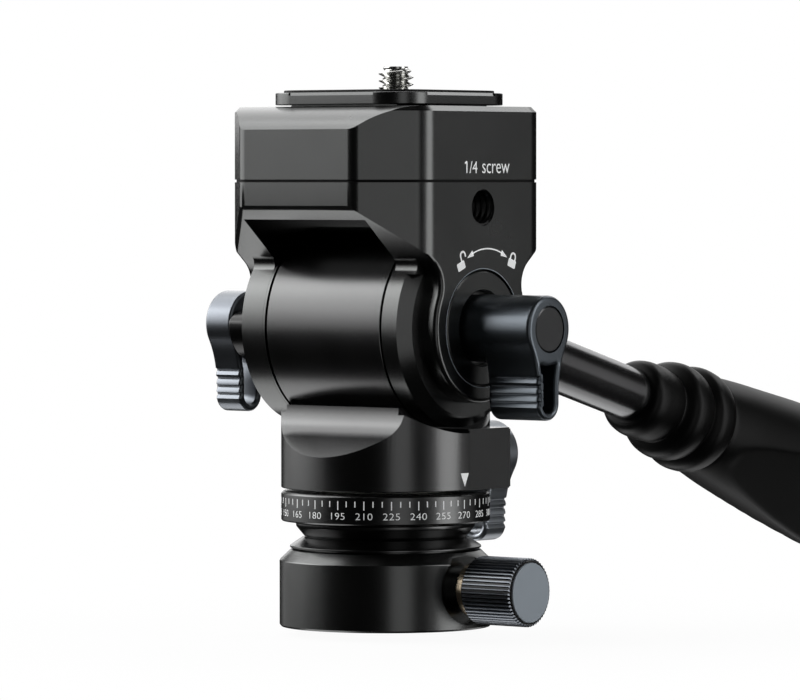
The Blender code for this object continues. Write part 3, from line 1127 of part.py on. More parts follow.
def release_plate(tilt):
    """Plate with a dovetail below, a pad in its top and a chamfer along the middle of each side."""
    centre = (PLATE_OFFSET, 0, 0)
    plate = slab("release_plate", [square_outline(PLATE_HALF_WIDTH, PLATE_CORNER_ROUND)], PLATE_BOTTOM,
                 PLATE_TOP, tilt, centre, finish=BLACK_ANODISED)
    wide, narrow = DOVETAIL_HALF_WIDTH, DOVETAIL_HALF_WIDTH - DOVETAIL_TAPER
    lean = DOVETAIL_TAPER / (CLAMP_TOP - DOVETAIL_BOTTOM) * OVERRUN / 2
    section = [(-wide, DOVETAIL_BOTTOM), (wide, DOVETAIL_BOTTOM), (narrow - lean, CLAMP_TOP + OVERRUN / 2),
               (-narrow + lean, CLAMP_TOP + OVERRUN / 2)]
    dovetail = slab("dovetail_lump", [section], -DOVETAIL_HALF_DEPTH, DOVETAIL_HALF_DEPTH, tilt, centre,
                    FACING_FRONT)
    join(plate, dovetail)
    recess = slab("pad_recess_cutter",
                  [square_outline(PAD_HALF_WIDTH + TOUCH_GAP, PAD_CORNER_ROUND + TOUCH_GAP)],
                  PAD_FLOOR, PLATE_TOP + OVERRUN, tilt, centre)
    screw_place = (PLATE_OFFSET, CAMERA_SCREW_OFFSET, 0)
    ledge = DOVETAIL_BOTTOM + CAMERA_SCREW_HEAD_HEIGHT + 2 * RUN_GAP
    well = turned("camera_well_cutter",
                  stepped_profile((CAMERA_THREAD_RADIUS + RUN_GAP, ledge, PLATE_TOP + OVERRUN),
                                  (CAMERA_SCREW_HEAD_RADIUS + RUN_GAP, DOVETAIL_BOTTOM - OVERRUN, ledge)),
                  tilt, screw_place)
    cut(plate, recess, well)
    edge = PLATE_EDGE_CHAMFER
    wedge = [(PLATE_HALF_WIDTH - edge, PLATE_TOP), (PLATE_HALF_WIDTH - edge, PLATE_TOP + edge),
             (PLATE_HALF_WIDTH + edge, PLATE_TOP + edge), (PLATE_HALF_WIDTH + edge, PLATE_TOP - edge),
             (PLATE_HALF_WIDTH, PLATE_TOP - edge)]
    for index in range(4):
        pivot = add_axis(f"plate_side_{index + 1}", tilt, centre, (0, 0, math.pi / 2 * index))
        cut(plate, slab(f"plate_edge_cutter_{index + 1}", [wedge], -PLATE_CHAMFER_LENGTH / 2,
                        PLATE_CHAMFER_LENGTH / 2, pivot, (0, 0, 0), FACING_FRONT))
    pad = slab("plate_pad", [square_outline(PAD_HALF_WIDTH, PAD_CORNER_ROUND)], PAD_BOTTOM, PAD_TOP,
               tilt, centre, finish=PAD_RUBBER)
    cut(pad, cutter_disc("pad_hole_cutter", CAMERA_THREAD_RADIUS + RUN_GAP, PAD_BOTTOM - OVERRUN,
                         PAD_TOP + OVERRUN, tilt, screw_place, steps=INNER_STEPS))


def camera_screw(tilt):
    """Captive 1/4 inch screw: a flat head in the plate's well and a shank that stands out of the pad."""
    axis = add_axis("camera_screw_axis", tilt, (PLATE_OFFSET, CAMERA_SCREW_OFFSET, 0))
    head_bottom = DOVETAIL_BOTTOM + RUN_GAP
    head_top = head_bottom + CAMERA_SCREW_HEAD_HEIGHT
    top = PAD_TOP + CAMERA_SCREW_PROUD
    radius, chamfer = CAMERA_THREAD_RADIUS, CAMERA_SCREW_CHAMFER
    profile = [(0, top), (radius - chamfer, top), (radius, top - chamfer), (radius, head_top),
               (CAMERA_SCREW_HEAD_RADIUS, head_top), (CAMERA_SCREW_HEAD_RADIUS, head_bottom),
               (0, head_bottom)]
    turned("camera_screw", profile, axis, finish=BRIGHT_STEEL, steps=INNER_STEPS)


def grip_sections():
    """Place, radius and drop of each section of the grip, from its mouth to its end."""
    sections = [(0.0, GRIP_MOUTH_RADIUS, 0.0)]
    start, base = 0.0, GRIP_MOUTH_RADIUS
    swell_shares = ((0.25, 0.55), (0.6, 0.95), (0.85, 1.0))
    for radius, end in zip(GRIP_RIB_RADII, GRIP_RIB_ENDS):
        for place_share, rise_share in swell_shares:
            sections.append((start + (end - start) * place_share, base + (radius - base) * rise_share, 0.0))
        base = radius - GRIP_NOTCH_DEPTH
        sections.append((end, base, 0.0))
        start = end
    body_start = start + GRIP_NOTCH_DEPTH
    sections.append((body_start, GRIP_BODY_RADIUS, 0.0))
    for step in range(1, 5):
        share = step / 4
        ease = math.sin(share * math.pi / 2)
        sections.append((body_start + (GRIP_BELLY_PLACE - body_start) * share,
                         GRIP_BODY_RADIUS + (GRIP_BELLY_RADIUS - GRIP_BODY_RADIUS) * ease,
                         GRIP_BELLY_DROP * share))
    tail = GRIP_LENGTH - GRIP_END_ROUND
    for step in range(1, 3):
        share = step / 2
        ease = math.sin(share * math.pi / 2) ** 2
        sections.append((GRIP_BELLY_PLACE + (tail - GRIP_BELLY_PLACE) * share,
                         GRIP_BELLY_RADIUS + (GRIP_END_RADIUS - GRIP_BELLY_RADIUS) * ease,
                         GRIP_BELLY_DROP))
    for step in range(1, 4):
        turn = math.pi / 2 * step / 3.4
        sections.append((tail + GRIP_END_ROUND * math.sin(turn),
                         GRIP_END_RADIUS - GRIP_END_ROUND + GRIP_END_ROUND * math.cos(turn),
                         GRIP_BELLY_DROP))
    return sections


def handle_grip(handle):
    """Lofted grip: round sections that swell and drop below the tube, with a flat low on each side."""
    build = bmesh.new()
    loops = []
    for place, radius, drop in grip_sections():
        loop = []
        for index in range(GRIP_STEPS):
            turn = math.tau * index / GRIP_STEPS
            loop.append(build.verts.new((radius * math.cos(turn), radius * math.sin(turn) + drop,
                                         GRIP_START + place)))
        loops.append(loop)
    for near, far in zip(loops, loops[1:]):
        for index in range(GRIP_STEPS):
            after = (index + 1) % GRIP_STEPS
            build.faces.new((near[index], near[after], far[after], far[index]))
    build.faces.new(list(reversed(loops[0])))
    build.faces.new(loops[-1])
    bmesh.ops.recalc_face_normals(build, faces=build.faces)
    mesh = bpy.data.meshes.new("handle_grip")
    build.to_mesh(mesh)
    build.free()
    grip = add_mesh_object("handle_grip", mesh, PARTS_NAME)
    settle(grip, handle, (0, 0, 0), (0, 0, 0), BLACK_RUBBER)
    grip.data.shade_smooth()
    grip.data.set_sharp_from_angle(angle=math.radians(50))
    body_start = GRIP_START + GRIP_RIB_ENDS[-1] + GRIP_NOTCH_DEPTH
    for side, sign in (("right", 1), ("left", -1)):
        lean = GRIP_FLAT_DROP if sign > 0 else math.pi - GRIP_FLAT_DROP
        flat = box(f"grip_flat_cutter_{side}", (GRIP_FLAT_DISTANCE, -GRIP_BELLY_RADIUS, body_start),
                   (GRIP_BELLY_RADIUS + GRIP_BELLY_DROP + OVERRUN, GRIP_BELLY_RADIUS,
                    GRIP_START + GRIP_LENGTH + OVERRUN), handle, (0, 0, 0), (0, 0, lean))
        cut(grip, flat)
    bore = cutter_disc("grip_bore_cutter", TUBE_RADIUS + TOUCH_GAP, GRIP_START - OVERRUN,
                       TUBE_START + TUBE_LENGTH + TOUCH_GAP, handle, steps=MEDIUM_STEPS)
    cut(grip, bore)


def handle(tilt):
    """Stud, tube and grip along the handle's own axis."""
    axis = add_axis("handle_axis", tilt, (HANDLE_OFFSET, 0, 0), (-math.pi / 2 - HANDLE_DROP, 0, 0))
    stud_start = SOCKET_ROOT + TOUCH_GAP
    turned("handle_stud", disc_profile(STUD_RADIUS, stud_start, stud_start + STUD_LENGTH), axis,
           finish=BRIGHT_STEEL, steps=SMALL_STEPS)
    turned("handle_tube", ring_profile(TUBE_RADIUS, STUD_RADIUS + TOUCH_GAP, TUBE_START,
                                       TUBE_START + TUBE_LENGTH),
           axis, finish=DARK_CHROME, ring=True)
    handle_grip(axis)


def main():
    """Builds every piece, from the base up."""
    clear_scene()
    root = add_axis("base_frame")
    base_cup(root)
    tripod_insert(root)
    guide_screws(root)
    base_clamp(root)
    swivel = add_axis("swivel_axis", root)
    foot(swivel)
    pan = add_axis("pan_axis", swivel)
    pan_housing(pan)
    pan_running_parts(pan)
    barrel_parts(pan)
    pan_lock(pan)
    tilt = add_axis("tilt_axis", pan, (0, 0, TILT_HEIGHT))
    tilt_yoke(tilt)
    tilt_axle(tilt)
    tilt_levers(tilt)
    clamp_body(tilt)
    body_screws(tilt)
    slide = add_axis("jaw_slide", tilt)
    clamp_jaw(slide)
    release_knob(tilt)
    release_plate(tilt)
    camera_screw(tilt)
    handle(tilt)


main()
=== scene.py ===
"""Looks of a compact fluid video head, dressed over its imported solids.

Shapes are worked out in millimetres in the row frame, and a piece becomes metres when it is shown.
-Y is the lens side, +X the side with the tilt lock lever, and the tilt axis runs along X.
"""

import json
import logging
import math
from dataclasses import dataclass, field
from enum import Enum
from typing import Any, Callable, Iterable, Sequence

import bmesh
import bpy
from mathutils import Euler, Matrix, Vector


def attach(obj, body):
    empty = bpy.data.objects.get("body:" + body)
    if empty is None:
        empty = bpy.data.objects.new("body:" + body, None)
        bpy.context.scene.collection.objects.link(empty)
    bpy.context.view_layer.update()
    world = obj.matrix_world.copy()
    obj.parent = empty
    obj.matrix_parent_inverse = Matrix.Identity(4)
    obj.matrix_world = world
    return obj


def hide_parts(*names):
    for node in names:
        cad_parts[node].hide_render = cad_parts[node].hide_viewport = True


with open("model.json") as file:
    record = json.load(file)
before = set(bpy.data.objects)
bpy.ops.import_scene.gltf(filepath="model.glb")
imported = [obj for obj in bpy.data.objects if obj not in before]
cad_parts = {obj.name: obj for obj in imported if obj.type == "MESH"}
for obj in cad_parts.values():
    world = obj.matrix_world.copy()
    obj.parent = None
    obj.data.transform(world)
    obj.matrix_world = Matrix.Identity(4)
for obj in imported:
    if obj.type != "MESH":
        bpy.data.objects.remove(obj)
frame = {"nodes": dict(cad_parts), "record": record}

LOG = logging.getLogger("video_head")
MM = 0.001
IDENTITY = Matrix.Identity(4)
WELD = 0.001
TILT_LEVEL = 54.5
CLAMP_LEVEL = 7.4
LOCK_LEVEL = 30.4
RELEASE_LEVEL = 88.3
SIDE_HOLE_RISE = 21.6
SCREW_BORE = 2.3
BODY_SCREWS = ((-8.0, -8.5), (-8.0, 8.5), (8.0, -8.5), (8.0, 8.5))
COAT_ROUGHNESS = 0.12
CLOUDS_PER_METRE = 120.0
DRIFTS_PER_METRE = 60.0
DARKEST, PALEST = 0.88, 1.12

Point = tuple[float, float]
Outline = list[Point]


class Facing(Enum):
    """Which way a shape's own axes are turned, as Euler angles in degrees."""

    UP = (0, 0, 0)
    RIGHT = (0, 90, 0)
    LEFT = (0, -90, 0)
    BACK = (-90, 0, 0)
    SIDE = (90, 0, 90)
    SIDE_LEFT = (90, 0, -90)
    FRONT = (90, 0, 0)
    REAR = (90, 0, 180)


def at(facing: Facing = Facing.UP, x: float = 0.0, y: float = 0.0, z: float = 0.0) -> Matrix:
    """Placement of a shape.

    Args:
        facing: How the shape is turned.
        x: Place along X, in mm.
        y: Place along Y, in mm.
        z: Place along Z, in mm.

    Returns:
        The matrix that takes the shape from its own axes to the row frame.
    """
    turn = Euler([math.radians(angle) for angle in facing.value]).to_matrix().to_4x4()
    return Matrix.Translation((x, y, z)) @ turn


def arc(centre: Sequence[float], radius: float, start: float, end: float, steps: int) -> Outline:
    """Points along an arc, both ends included.

    Args:
        centre: The arc's centre.
        radius: Its radius.
        start: First angle in radians.
        end: Last angle in radians.
        steps: Number of straight stretches.

    Returns:
        The points, in order.
    """
    angles = [start + (end - start) * index / steps for index in range(steps + 1)]
    return [(centre[0] + radius * math.cos(a), centre[1] + radius * math.sin(a)) for a in angles]


def rounded(corners: Sequence[tuple[float, float, float]], steps: int = 8) -> Outline:
    """A closed outline whose corners are rounded.

    Args:
        corners: (x, y, radius) for each corner, in order.
        steps: Straight stretches in each rounded corner.

    Returns:
        The outline's points.
    """
    outline: Outline = []
    for index, (x, y, radius) in enumerate(corners):
        here = Vector((x, y))
        if not radius:
            outline.append((x, y))
            continue
        before = (Vector(corners[index - 1][:2]) - here).normalized()
        after = (Vector(corners[(index + 1) % len(corners)][:2]) - here).normalized()
        half = before.angle(after) / 2
        middle = here + (before + after).normalized() * (radius / math.sin(half))
        first = here + before * (radius / math.tan(half)) - middle
        last = here + after * (radius / math.tan(half)) - middle
        begin = math.atan2(first.y, first.x)
        outline += arc(middle, radius, begin, begin - first.angle_signed(last), steps)
    return outline


def oblong(half_x: float, half_y: float, radius: float, steps: int) -> Outline:
    """A rectangle about the origin with round corners."""
    corners = [(half_x, half_y), (-half_x, half_y), (-half_x, -half_y), (half_x, -half_y)]
    return rounded([(x, y, radius) for x, y in corners], steps)


def mirrored(half: Outline) -> Outline:
    """Closes an outline from its right half, which starts and ends near x = 0."""
    return half + [(-x, y) for x, y in reversed(half) if x > WELD]


def evaluated(piece: bpy.types.Object) -> bpy.types.Mesh:
    """The plain mesh of an object with its modifiers, after which the object is removed."""
    bpy.context.view_layer.update()
    graph = bpy.context.evaluated_depsgraph_get()
    mesh = bpy.data.meshes.new_from_object(piece.evaluated_get(graph))
    bpy.data.objects.remove(piece, do_unlink=True)
    return mesh


def linked(name: str, data: bpy.types.ID) -> bpy.types.Object:
    """A new object in the scene that shows this data."""
    piece = bpy.data.objects.new(name, data)
    bpy.context.scene.collection.objects.link(piece)
    return piece


def weld(mesh: bpy.types.Mesh, matrix: Matrix = IDENTITY) -> bpy.types.Mesh:
    """Merges a mesh's doubles, turns its faces outwards and moves it.

    Args:
        mesh: The mesh, which is changed.
        matrix: Where it goes.

    Returns:
        The same mesh.
    """
    build = bmesh.new()
    build.from_mesh(mesh)
    bmesh.ops.remove_doubles(build, verts=build.verts, dist=WELD)
    build.transform(matrix)
    bmesh.ops.recalc_face_normals(build, faces=build.faces)
    build.to_mesh(mesh)
    build.free()
    return mesh


class Solid:
    """A closed mesh in the making, in millimetres; each Boolean is worked out at once."""

    def __init__(self, mesh: bpy.types.Mesh) -> None:
        """Keeps the mesh that later steps change."""
        self.mesh = mesh

    @classmethod
    def turned(cls, profile: Sequence[Point], place: Matrix = IDENTITY, steps: int = 96,
               ring: bool = False, phase: float = 0.0) -> "Solid":
        """A shape turned about its own Z axis.

        Args:
            profile: (radius, height) points down the outer side; a ring's profile closes on itself.
            place: Where the shape goes.
            steps: Facets round a full turn.
            ring: Whether the profile closes on itself.
            phase: Share of a facet by which the first corner is turned.

        Returns:
            The solid.
        """
        build = bmesh.new()
        loops = []
        for radius, height in profile:
            if radius < WELD:
                continue
            angles = [math.tau * (k + phase) / steps for k in range(steps)]
            loops.append([build.verts.new((radius * math.cos(a), radius * math.sin(a), height))
                          for a in angles])
        following = loops[1:] + loops[:1] if ring else loops[1:]
        for upper, lower in zip(loops, following):
            for k in range(steps):
                after = (k + 1) % steps
                build.faces.new((upper[k], lower[k], lower[after], upper[after]))
        if not ring:
            build.faces.new(loops[0])
            build.faces.new(list(reversed(loops[-1])))
        mesh = bpy.data.meshes.new("turned")
        build.to_mesh(mesh)
        build.free()
        return cls(weld(mesh, place))

    @classmethod
    def slab(cls, outlines: Sequence[Outline], low: float, high: float, place: Matrix = IDENTITY,
             edge: float = 0.0, edge_steps: int = 2) -> "Solid":
        """A flat outline with thickness, and rounded rims when asked.

        Args:
            outlines: The outside first, then any holes.
            low: Lower face along the shape's own Z.
            high: Upper face.
            place: Where the shape goes.
            edge: Radius of the rims' rounding.
            edge_steps: Extra stretches in that rounding.

        Returns:
            The solid.
        """
        curve = bpy.data.curves.new("outline", "CURVE")
        curve.dimensions = "2D"
        curve.fill_mode = "BOTH"
        for outline in outlines:
            spline = curve.splines.new("POLY")
            spline.points.add(len(outline) - 1)
            for point, (x, y) in zip(spline.points, outline):
                point.co = (x, y, 0.0, 1.0)
            spline.use_cyclic_u = True
        curve.extrude = (high - low) / 2 - edge
        if edge:
            curve.bevel_depth = edge
            curve.bevel_resolution = edge_steps
            curve.offset = -edge
        mesh = evaluated(linked("outline", curve))
        return cls(weld(mesh, place @ Matrix.Translation((0, 0, (low + high) / 2))))

    @classmethod
    def block(cls, low: Sequence[float], high: Sequence[float], place: Matrix = IDENTITY,
              chamfer: float = 0.0) -> "Solid":
        """A box between two corners, with chamfered edges when asked."""
        build = bmesh.new()
        bmesh.ops.create_cube(build, size=1.0)
        middle, span = (Vector(low) + Vector(high)) / 2, Vector(high) - Vector(low)
        for vertex in build.verts:
            vertex.co = middle + Vector(a * b for a, b in zip(vertex.co, span))
        if chamfer:
            bmesh.ops.bevel(build, geom=build.edges[:], offset=chamfer, segments=2, affect="EDGES")
        mesh = bpy.data.meshes.new("block")
        build.to_mesh(mesh)
        build.free()
        return cls(weld(mesh, place))

    @classmethod
    def rod(cls, radius: float, low: float, high: float, place: Matrix = IDENTITY, steps: int = 48,
            chamfer: float = 0.0, phase: float = 0.0) -> "Solid":
        """A plain round rod along its own Z axis, with chamfered rims when asked."""
        profile = [(radius, high), (radius, low)]
        if chamfer:
            profile = [(radius - chamfer, high), (radius, high - chamfer), (radius, low + chamfer),
                       (radius - chamfer, low)]
        return cls.turned(profile, place, steps, phase=phase)

    def _combine(self, operation: str, others: Iterable["Solid"]) -> "Solid":
        """Works out one exact Boolean after another."""
        base = linked("base", self.mesh)
        tools = [linked("tool", other.mesh) for other in others]
        for tool in tools:
            change = base.modifiers.new("change", "BOOLEAN")
            change.operation = operation
            change.solver = "EXACT"
            change.object = tool
        self.mesh = evaluated(base)
        for tool in tools:
            bpy.data.objects.remove(tool, do_unlink=True)
        return self

    def cut(self, *others: "Solid") -> "Solid":
        """Takes the others away."""
        return self._combine("DIFFERENCE", others)

    def join(self, *others: "Solid") -> "Solid":
        """Makes the others part of this solid."""
        return self._combine("UNION", others)

    def keep(self, *others: "Solid") -> "Solid":
        """Keeps what lies inside each of the others."""
        return self._combine("INTERSECT", others)


class Wire:
    """A shader socket that takes part in sums."""

    def __init__(self, graph: "Graph", socket: bpy.types.NodeSocket) -> None:
        """Keeps the socket and the graph that it belongs to."""
        self.graph = graph
        self.socket = socket

    def _sum(self, operation: str, first: Any, second: Any) -> "Wire":
        """One Math node over two values or links."""
        return self.graph.node("ShaderNodeMath", {"operation": operation}, {0: first, 1: second}).out()

    def __add__(self, other: Any) -> "Wire":
        """Sum."""
        return self._sum("ADD", self, other)

    def __mul__(self, other: Any) -> "Wire":
        """Product."""
        return self._sum("MULTIPLY", self, other)


class Built:
    """A node that has just been added, with its outputs as wires."""

    def __init__(self, graph: "Graph", node: bpy.types.Node) -> None:
        """Keeps the node."""
        self.graph = graph
        self.node = node

    def out(self, name: str | int = 0) -> Wire:
        """The named output, or the first."""
        return Wire(self.graph, self.node.outputs[name])


class Graph:
    """A material's node tree, built step by step."""

    def __init__(self, name: str) -> None:
        """Makes the material, whose Principled shader stays."""
        self.material = bpy.data.materials.new(name)
        self.material.use_nodes = True
        self.tree = self.material.node_tree
        self.shader = self.tree.nodes["Principled BSDF"]

    def node(self, kind: str, settings: dict[str, Any] | None = None,
             inputs: dict[str | int, Any] | None = None) -> Built:
        """Adds a node.

        Args:
            kind: The node's type.
            settings: Its own settings, which are made first.
            inputs: Values or wires for its sockets.

        Returns:
            The node.
        """
        node = self.tree.nodes.new(kind)
        for key, value in (settings or {}).items():
            setattr(node, key, value)
        for key, value in (inputs or {}).items():
            self.feed(node.inputs[key], value)
        return Built(self, node)

    def feed(self, socket: bpy.types.NodeSocket, value: Any) -> None:
        """Links a wire to a socket, or sets the socket's own value."""
        if isinstance(value, Wire):
            self.tree.links.new(value.socket, socket)
        else:
            socket.default_value = value

    def set(self, name: str, value: Any) -> None:
        """Sets or links an input of the Principled shader."""
        self.feed(self.shader.inputs[name], value)

    def place(self) -> Wire:
        """Object coordinates, which are the row frame's metres."""
        return self.node("ShaderNodeTexCoord").out("Object")

    def noise(self, scale: float, detail: float = 2.0, stretch: Sequence[float] = (1, 1, 1)) -> Wire:
        """Noise from 0 to 1 over the piece, stretched along its axes when asked."""
        spread = self.node("ShaderNodeMapping", None, {"Vector": self.place(), "Scale": tuple(stretch)})
        return self.node("ShaderNodeTexNoise", None,
                         {"Vector": spread.out(), "Scale": scale, "Detail": detail}).out(0)

    def bump(self, height: Wire, depth: float) -> None:
        """Gives the surface a relief, as deep as stated in metres."""
        inputs = {"Height": height, "Distance": depth, "Strength": 1.0}
        self.set("Normal", self.node("ShaderNodeBump", None, inputs).out())

    def blend(self, factor: Any, first: Any, second: Any) -> Wire:
        """Mixes two colours."""
        return self.node("ShaderNodeMix", {"data_type": "RGBA"},
                         {0: factor, 6: first, 7: second}).out(2)


@dataclass(frozen=True)
class Finish:
    """A plain surface finish with a fine grain.

    Attributes:
        name: The material's name.
        colour: Base colour, linear.
        roughness: Middle roughness.
        metallic: Share of metal.
        spread: How far the roughness wanders.
        grain: Grains per metre of the surface's texture.
        depth: Height of that grain, in metres.
        coat: Share of clear coat.
        specular: Specular level.
    """

    name: str
    colour: tuple[float, float, float]
    roughness: float
    metallic: float = 0.0
    spread: float = 0.06
    grain: float = 9000.0
    depth: float = 0.0
    coat: float = 0.0
    specular: float = 0.5

    def material(self) -> bpy.types.Material:
        """The finish as a material, made once."""
        label = "finish_" + self.name
        known = bpy.data.materials.get(label)
        if known:
            return known
        graph = Graph(label)
        self.colours(graph)
        graph.set("Metallic", self.metallic)
        graph.set("Specular IOR Level", self.specular)
        if self.coat:
            graph.set("Coat Weight", self.coat)
            graph.shader.inputs["Coat Roughness"].default_value = COAT_ROUGHNESS
        cloud = graph.noise(CLOUDS_PER_METRE, 3.0)
        graph.set("Roughness", cloud * self.spread + (self.roughness - self.spread / 2))
        self.relief(graph)
        return graph.material

    def colours(self, graph: Graph) -> None:
        """A base colour that drifts very slightly over the piece."""
        drift = graph.noise(DRIFTS_PER_METRE, 2.0)
        low = tuple(c * DARKEST for c in self.colour) + (1.0,)
        high = tuple(min(c * PALEST, 1.0) for c in self.colour) + (1.0,)
        graph.set("Base Color", graph.blend(drift, low, high))

    def relief(self, graph: Graph) -> None:
        """Fine grain in the surface."""
        if not self.depth:
            return
        graph.bump(graph.noise(self.grain, 2.0), self.depth)


@dataclass(frozen=True)
class MouldedRubber(Finish):
    """Rubber with a pebbled skin."""

    def relief(self, graph: Graph) -> None:
        """Round pebbles with fine noise between them."""
        cells = graph.node("ShaderNodeTexVoronoi", {"feature": "SMOOTH_F1"},
                           {"Vector": graph.place(), "Scale": self.grain, "Smoothness": 0.6}).out()
        graph.bump(cells * 0.7 + graph.noise(self.grain * 2.5) * 0.5, self.depth)


@dataclass(frozen=True)
class DrawnMetal(Finish):
    """Bright metal with faint draw lines along one axis."""

    stretch: tuple[float, float, float] = (1.0, 0.02, 1.0)

    def relief(self, graph: Graph) -> None:
        """Long thin lines."""
        graph.bump(graph.noise(self.grain, 3.0, self.stretch), self.depth)


@dataclass(frozen=True)
class PrintedInk(Finish):
    """Opaque ink with a painted glow: an emission in its own colour, lifted a little so that it reads under
    lamps placed for the metal.
    """

    # lift: strength of the painted glow, an emission though the ink is no lamp.
    lift: float = 0.3

    def colours(self, graph: Graph) -> None:
        """Adds the lift as a painted glow, an emission in the ink's own colour."""
        super().colours(graph)
        graph.set("Emission Color", (*self.colour, 1.0))
        graph.set("Emission Strength", self.lift)


SATIN_BLACK = Finish("satin_black_anodising", (0.100, 0.102, 0.101), 0.26, 1.0, grain=14000.0,
                     depth=0.000002)
PAN_BLACK = Finish("pan_black_anodising", (0.100, 0.101, 0.101), 0.25, 1.0, grain=14000.0,
                   depth=0.000002)
LEVER_SLATE = Finish("slate_lever_paint", (0.125, 0.142, 0.160), 0.36, 1.0, grain=9000.0,
                     depth=0.000002, coat=0.25)
LEVER_SILVER = Finish("silver_lever_paint", (0.150, 0.162, 0.180), 0.32, 1.0, grain=9000.0,
                      depth=0.000002, coat=0.2)
# A lighter copy of the dark lever paint, painted light for the pan lever.
PAN_LEVER_LIT_PAINT = Finish("grey_lever_paint", (0.27, 0.29, 0.315), 0.34, 1.0, grain=9000.0, depth=0.000002,
                    coat=0.2)
# A darker copy of the black anodising, painted shade for pieces that sit deep between others.
PAINTED_SHADE_BLACK = Finish("hub_black_anodising", (0.035, 0.035, 0.035), 0.26, 1.0, grain=14000.0,
                   depth=0.000002)
CAP_GREY = Finish("grey_cap", (0.36, 0.41, 0.46), 0.45, grain=12000.0, depth=0.000003)
CAP_DARK = Finish("dark_cap", (0.105, 0.106, 0.108), 0.30, 1.0, grain=12000.0, depth=0.000003)
BRIGHT_STEEL = DrawnMetal("bright_steel", (0.62, 0.62, 0.60), 0.20, 1.0, grain=3000.0, depth=0.000002)
DARK_STEEL = DrawnMetal("dark_steel", (0.10, 0.10, 0.10), 0.22, 1.0, grain=3000.0, depth=0.000002)
PALE_BRASS = Finish("pale_brass", (0.70, 0.58, 0.42), 0.28, 1.0, grain=6000.0, depth=0.000002)
BUSH_BRONZE = Finish("bush_bronze", (0.45, 0.30, 0.16), 0.42, 1.0, grain=9000.0, depth=0.000004)
DARK_CHROME = DrawnMetal("dark_chrome", (0.26, 0.26, 0.265), 0.20, 1.0, grain=900.0, depth=0.000001,
                         spread=0.03)
GRIP_RUBBER = MouldedRubber("grip_rubber", (0.0012, 0.0012, 0.0012), 0.40, grain=3600.0, depth=0.000005,
                            specular=0.18)
PAD_RUBBER = MouldedRubber("pad_rubber", (0.004, 0.004, 0.004), 0.70, grain=2600.0, depth=0.00003,
                           specular=0.35)
SLIP_POLYMER = Finish("slip_polymer", (0.70, 0.70, 0.66), 0.50, grain=5000.0, depth=0.000003)
# White print; PrintedInk gives it a painted glow on top of its own colour.
PRINT_WHITE = PrintedInk("printed_white", (0.86, 0.87, 0.87), 0.55, grain=9000.0, depth=0.000002)
# Near-black sheets put into the gaps between parts, as painted shade in the joints.
GAP_SHADE_BLACK = Finish("seam_black", (0.0015, 0.0015, 0.0015), 0.65, grain=6000.0, depth=0.000002,
                    specular=0.2)


class Slot(Enum):
    """The record's material slots."""

    BLACK = "black_anodised"
    LEVER = "dark_lever"
    SILVER = "silver_lever"
    CAP = "grey_cap"
    STEEL = "steel"
    BRASS = "brass"
    BRONZE = "bronze"
    POLYMER = "pale_polymer"
    PAD = "pad_rubber"
    CHROME = "dark_chrome"
    GRIP = "grip_rubber"


PLAIN_FINISHES = {
    Slot.BLACK: SATIN_BLACK, Slot.LEVER: LEVER_SLATE, Slot.SILVER: LEVER_SILVER, Slot.CAP: CAP_GREY,
    Slot.STEEL: BRIGHT_STEEL, Slot.BRASS: PALE_BRASS, Slot.BRONZE: BUSH_BRONZE,
    Slot.POLYMER: SLIP_POLYMER, Slot.PAD: PAD_RUBBER, Slot.CHROME: DARK_CHROME, Slot.GRIP: GRIP_RUBBER,
}


def show(name: str, shape: Solid | bpy.types.Mesh, finish: Finish, body: str,
         replaces: Sequence[str] = (), sharp: float = 32.0) -> bpy.types.Object:
    """Shows a finished piece.

    Args:
        name: The piece's name.
        shape: Its solid or mesh, in mm in the row frame.
        finish: Its finish.
        body: The CAD body that it rides on.
        replaces: CAD nodes that it stands for.
        sharp: Bend above which an edge is shaded sharp, in degrees.

    Returns:
        The object.
    """
    mesh = shape.mesh if isinstance(shape, Solid) else shape
    mesh.transform(Matrix.Scale(MM, 4))
    mesh.shade_smooth()
    mesh.set_sharp_from_angle(angle=math.radians(sharp))
    work = linked("work", mesh)
    weighted = work.modifiers.new("flat_faces_lead", "WEIGHTED_NORMAL")
    weighted.keep_sharp = True
    weighted.weight = 80
    final = evaluated(work)
    final.name = name
    final.materials.clear()
    final.materials.append(finish.material())
    piece = linked(name, final)
    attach(piece, body)
    if replaces:
        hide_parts(*replaces)
    LOG.info("%s: %d faces, rides on %s", name, len(final.polygons), body)
    return piece


